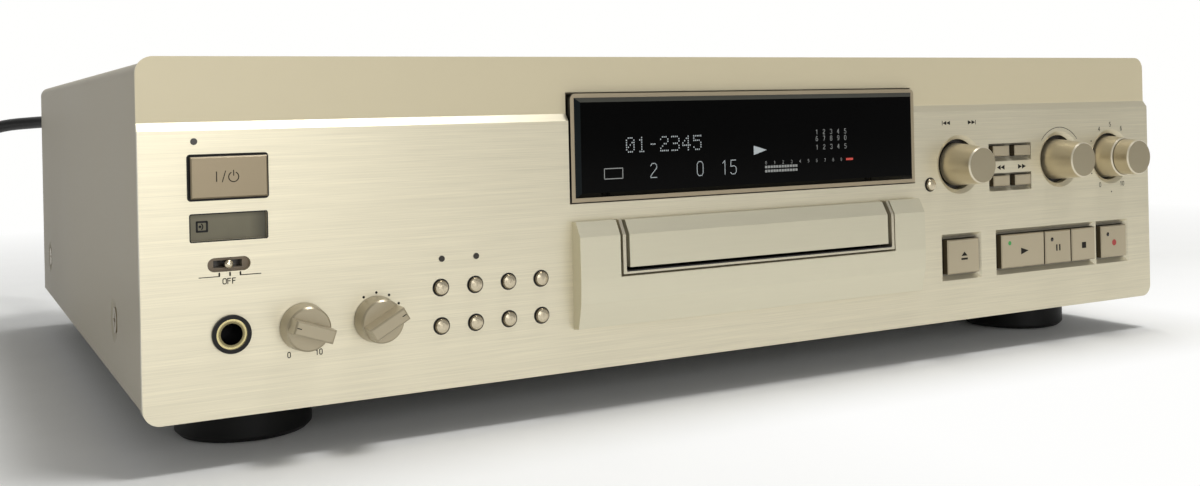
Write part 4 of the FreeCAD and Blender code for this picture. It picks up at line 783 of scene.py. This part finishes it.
lit = dotted("01-2345", -54.8, 73.3, 3.7, 5.6)
lit += written("2", -45.1, 64.3, 4.9, 0.26) + written("0", -25.9, 64.1, 5.0, 0.26)
lit += written("15", -15.5, 64.1, 5.0, 0.26)
lit.append(arrow(-1.2, 72.3, 5.8, 3.4))
marks("display_numbers", shifted(lit), GLASS, "lit")
dim = []
for row, z in enumerate((78.1, 75.6, 72.4)):
    for column in range(5):
        dim += written(str((row * 5 + column + 1) % 10), 27.4 + column * 3.4, z - 0.7, 1.7, 0.22)
for z in (66.0, 64.5):
    dim += [oblong(3.7 + k * 1.25, z - 0.45, 4.7 + k * 1.25, z + 0.45) for k in range(12)]
for k in range(10):
    dim += written(str(k), 3.9 + k * 3.9, 67.0, 1.1, 0.16)
dim += ribbon([(-63.5, 64.6), (-56.3, 64.6), (-56.3, 68.1), (-63.5, 68.1), (-63.5, 64.6)], 0.3)
marks("display_scale", shifted(dim), GLASS, "lit_dim")
marks("display_red", shifted([oblong(41.6, 67.1, 45.0, 67.9)]), GLASS, "lit_red")

# Receiver window: a small boxed sign
sign = ribbon([(-198.8, 55.1), (-195.9, 55.1), (-195.9, 57.9), (-198.8, 57.9), (-198.8, 55.1)], 0.6)
sign += ribbon(arc_path(-198.1, 56.5, 1.0, 40, 140, 8), 0.35)
sign.append(round_spot(-197.9, 56.5, 0.4))
WINDOW_FACE = 1.17
marks("window_sign", sign, WINDOW_FACE, "gap")

# Signs on the keys
power_sign = ribbon([(-193.5, 69.7), (-193.5, 72.5)], 0.28)
power_sign += ribbon([(-191.9, 69.5), (-190.9, 72.7)], 0.24)
power_sign += ribbon(arc_path(-188.6, 70.9, 1.45, 30, 330), 0.28)
power_sign += ribbon([(-188.6, 71.3), (-188.6, 72.8)], 0.28)
POWER_FACE = -2.03
KEY_SURFACE = -1.0
KEY_FACE = -1.03
marks("power_sign", power_sign, POWER_FACE, "print", "power_button")
marks("eject_sign", [[(100.0, 26.0), (103.3, 26.0), (101.65, 27.7)], oblong(99.9, 24.4, 103.4, 25.2)],
      KEY_FACE, "print", "open_close_key")
marks("play_sign", [arrow(133.6, 25.6, 4.4, 2.8)], KEY_FACE, "print", "play_key")
marks("pause_sign", [oblong(154.4, 24.2, 155.2, 26.9), oblong(156.2, 24.2, 157.0, 26.9)],
      KEY_FACE, "print", "pause_key")
marks("stop_sign", [oblong(170.2, 24.2, 172.8, 26.8)], KEY_FACE, "print", "stop_key")
marks("record_sign", [round_spot(190.6, 25.3, 1.35)], KEY_FACE, "red", "record_key")


def dome(name, x, y, z, radius, rise, material, body):
    """A low round lens: y falls from its edge to its middle as the cosine of the way out."""
    rings = 7
    sides = 24
    out = np.linspace(0.02, 1, rings)[:, None]
    angle = np.linspace(0, 2 * math.pi, sides, endpoint=False)[None, :]
    points = np.stack([x + radius * out * np.cos(angle),
                       y - rise * np.cos(out * math.pi / 2) + 0 * angle,
                       z + radius * out * np.sin(angle)], axis=-1).reshape(-1, 3)
    faces = grid_faces(rings, sides) + [list(range(sides))[::-1]]
    return add_mesh(name, points, faces, material, body, smooth=True)


for name, x, z, material, body in (
        ("play_lamp", 127.2, 29.3, "green", "play_key"),
        ("pause_lamp", 152.1, 29.2, "lamp", "pause_key"),
        ("record_lamp", 186.7, 29.1, "lamp", "record_key")):
    dome(name, x, KEY_SURFACE, z, 0.9, 0.25, material, body)

# Rear panel: frames round the sockets, arrows for the signal's way and coloured rings
REAR = 315.13
rear_print = ribbon(rounded(139.0, 22.0, 182.0, 56.0, 2.0).tolist() + [(180.0, 22.0)], 0.45)
rear_print += ribbon(rounded(62.0, 22.0, 133.0, 43.0, 2.0).tolist() + [(131.0, 22.0)], 0.45)
rear_print += [arrow(172.5, 52.0, -3.0, 2.6), arrow(148.5, 52.6, 3.0, 2.6)]
rear_print += [arrow(120.0, 40.4, 2.6, 2.0), arrow(90.7, 40.4, 2.6, 2.0), arrow(74.3, 40.4, -2.6, 2.0)]


def behind(shapes):
    """Shapes turned over, so that they face the rear."""
    return [np.asarray(shape)[::-1] for shape in shapes]


marks("rear_print", behind(rear_print), REAR, "gap")
RCA_RADIUS = 4.15
for name, material, spots in (("socket_rings_white", "white", ((150.0, 46.0), (171.0, 46.0))),
                              ("socket_rings_red", "red", ((150.0, 32.0), (171.0, 32.0))),
                              ("socket_ring_orange", "orange", ((122.0, 32.0),))):
    rings = []
    for spot in spots:
        rings += band(round_spot(*spot, RCA_RADIUS + 0.15, 32), round_spot(*spot, RCA_RADIUS + 1.5, 32))
    marks(name, behind(rings), REAR, material)

# Pointer line on each small knob's grip
GRIP_FACE = -13.53
GRIP_LEVEL = 24.6
for name, across, lean in (("phone_level_knob", -168.4, -71), ("input_knob", -145.4, 61)):
    angle = math.radians(lean)
    ends = [(across + reach * math.sin(angle), GRIP_LEVEL + reach * math.cos(angle))
            for reach in (4.4, 5.6)]
    marks(name + "_line", ribbon(ends, 0.3), GRIP_FACE, "print", name)

# Floor and light
floor_surface = Surface("floor_pale", paint(243, 243, 240), 0.85)
cloud = floor_surface.noise((30.0,) * 3)
floor_surface.feed("Base Color", floor_surface.mix(cloud, paint(240, 240, 238), paint(247, 247, 244)))
# Away from the deck the floor turns into the white of the backdrop, sooner on its right
HALF_WIDE, HALF_DEEP = 0.215, 0.155
to_right = floor_surface.axis("X")
to_rear = floor_surface.axis("Y")
beside = (to_right.math("ABSOLUTE") - HALF_WIDE).math("MAXIMUM", 0.0)
before = (to_rear.math("ABSOLUTE") - HALF_DEEP).math("MAXIMUM", 0.0)
away = (beside * beside + before * before) ** 0.5
before_deck = (to_rear * -1.0).ramp(-0.05, 0.12)
open_floor = away.ramp(0.006, 0.05) * to_right.ramp(-0.24, 0.0) * before_deck * 0.96
far_floor = away.ramp(0.10, 0.6)
mirrored = away.ramp(0.0, 0.05) * (1.0 - to_right.ramp(0.05, 0.45))
WHITE = (1.0, 1.0, 0.99)
shine = floor_surface.node("ShaderNodeEmission", "Emission", {"Color": WHITE, "Strength": 1.0})
white_floor = open_floor.math("MAXIMUM", far_floor)
seen_floor = floor_surface.node("ShaderNodeLightPath", "Is Camera Ray") * white_floor
metal_floor = floor_surface.node("ShaderNodeLightPath", "Is Glossy Ray") * mirrored
painted = Value(floor_surface, floor_surface.shader.outputs["BSDF"])
blend = floor_surface.node("ShaderNodeMixShader", "Shader",
                           {0: seen_floor.math("MAXIMUM", metal_floor), 1: painted, 2: shine})
floor_surface.plug(floor_surface.tree.nodes["Material Output"].inputs["Surface"], blend)
floor_mesh = bpy.data.meshes.new("floor")
REACH = 6
floor_mesh.from_pydata([(-REACH, -REACH, 0), (REACH, -REACH, 0), (REACH, REACH, 0), (-REACH, REACH, 0)],
                       [], [(0, 1, 2, 3)])
floor_mesh.materials.append(floor_surface.material)
floor = bpy.data.objects.new("floor", floor_mesh)
bpy.context.scene.collection.objects.link(floor)


def softbox(name, place, target, size, power):
    """A square white lamp that faces a point."""
    data = bpy.data.lights.new(name, "AREA")
    data.size = size
    data.energy = power
    lamp = bpy.data.objects.new(name, data)
    lamp.location = place
    lamp.rotation_euler = (Vector(target) - Vector(place)).to_track_quat("-Z", "Y").to_euler()
    bpy.context.scene.collection.objects.link(lamp)


softbox("key_light", (0.3, -0.5, 1.8), (0, -0.1, 0.05), size=0.4, power=13)
softbox("front_light", (-0.15, -2.1, 0.4), (0, 0, 0.05), size=1.1, power=12.5)
softbox("top_light", (0.45, 0.35, 1.8), (0, 0, 0), size=0.8, power=10)

# World: white where the camera or glass sees it, a dimmer room elsewhere
ROOM_LIGHT = 0.28
world = bpy.data.worlds.new("studio")
bpy.context.scene.world = world
world.use_nodes = True
tree = world.node_tree
background = tree.nodes["Background"]
background.inputs["Color"].default_value = (*WHITE, 1.0)
ray = tree.nodes.new("ShaderNodeLightPath").outputs


def joined(kind, result, links, constants=(), operation=None):
    """A node of the world with sockets linked to its inputs, as one of its outputs."""
    made = tree.nodes.new(kind)
    if operation:
        made.operation = operation
    for key, socket in links.items():
        tree.links.new(socket, made.inputs[key])
    for key, value in constants:
        made.inputs[key].default_value = value
    return made.outputs[result]


direction = tree.nodes.new("ShaderNodeTexCoord").outputs["Generated"]
towards_rear = joined("ShaderNodeSeparateXYZ", "Y", {0: direction})
white = joined("ShaderNodeMath", 0, {0: ray["Is Camera Ray"], 1: ray["Is Transmission Ray"]},
               operation="MAXIMUM")
# Metal shows the white backdrop too, and the dimmer room where it looks away from the backdrop
backdrop = joined("ShaderNodeMapRange", "Result", {"Value": towards_rear},
                  (("From Min", -0.2), ("From Max", 0.5)))
shown = joined("ShaderNodeMath", 0, {0: ray["Is Glossy Ray"], 1: backdrop}, operation="MULTIPLY")
both = joined("ShaderNodeMath", 0, {0: white, 1: shown}, operation="MAXIMUM")
strength = joined("ShaderNodeMapRange", "Result", {"Value": both},
                  (("To Min", ROOM_LIGHT), ("To Max", 1.0)))
tree.links.new(strength, background.inputs["Strength"])

bpy.context.scene.view_settings.view_transform = "Standard"
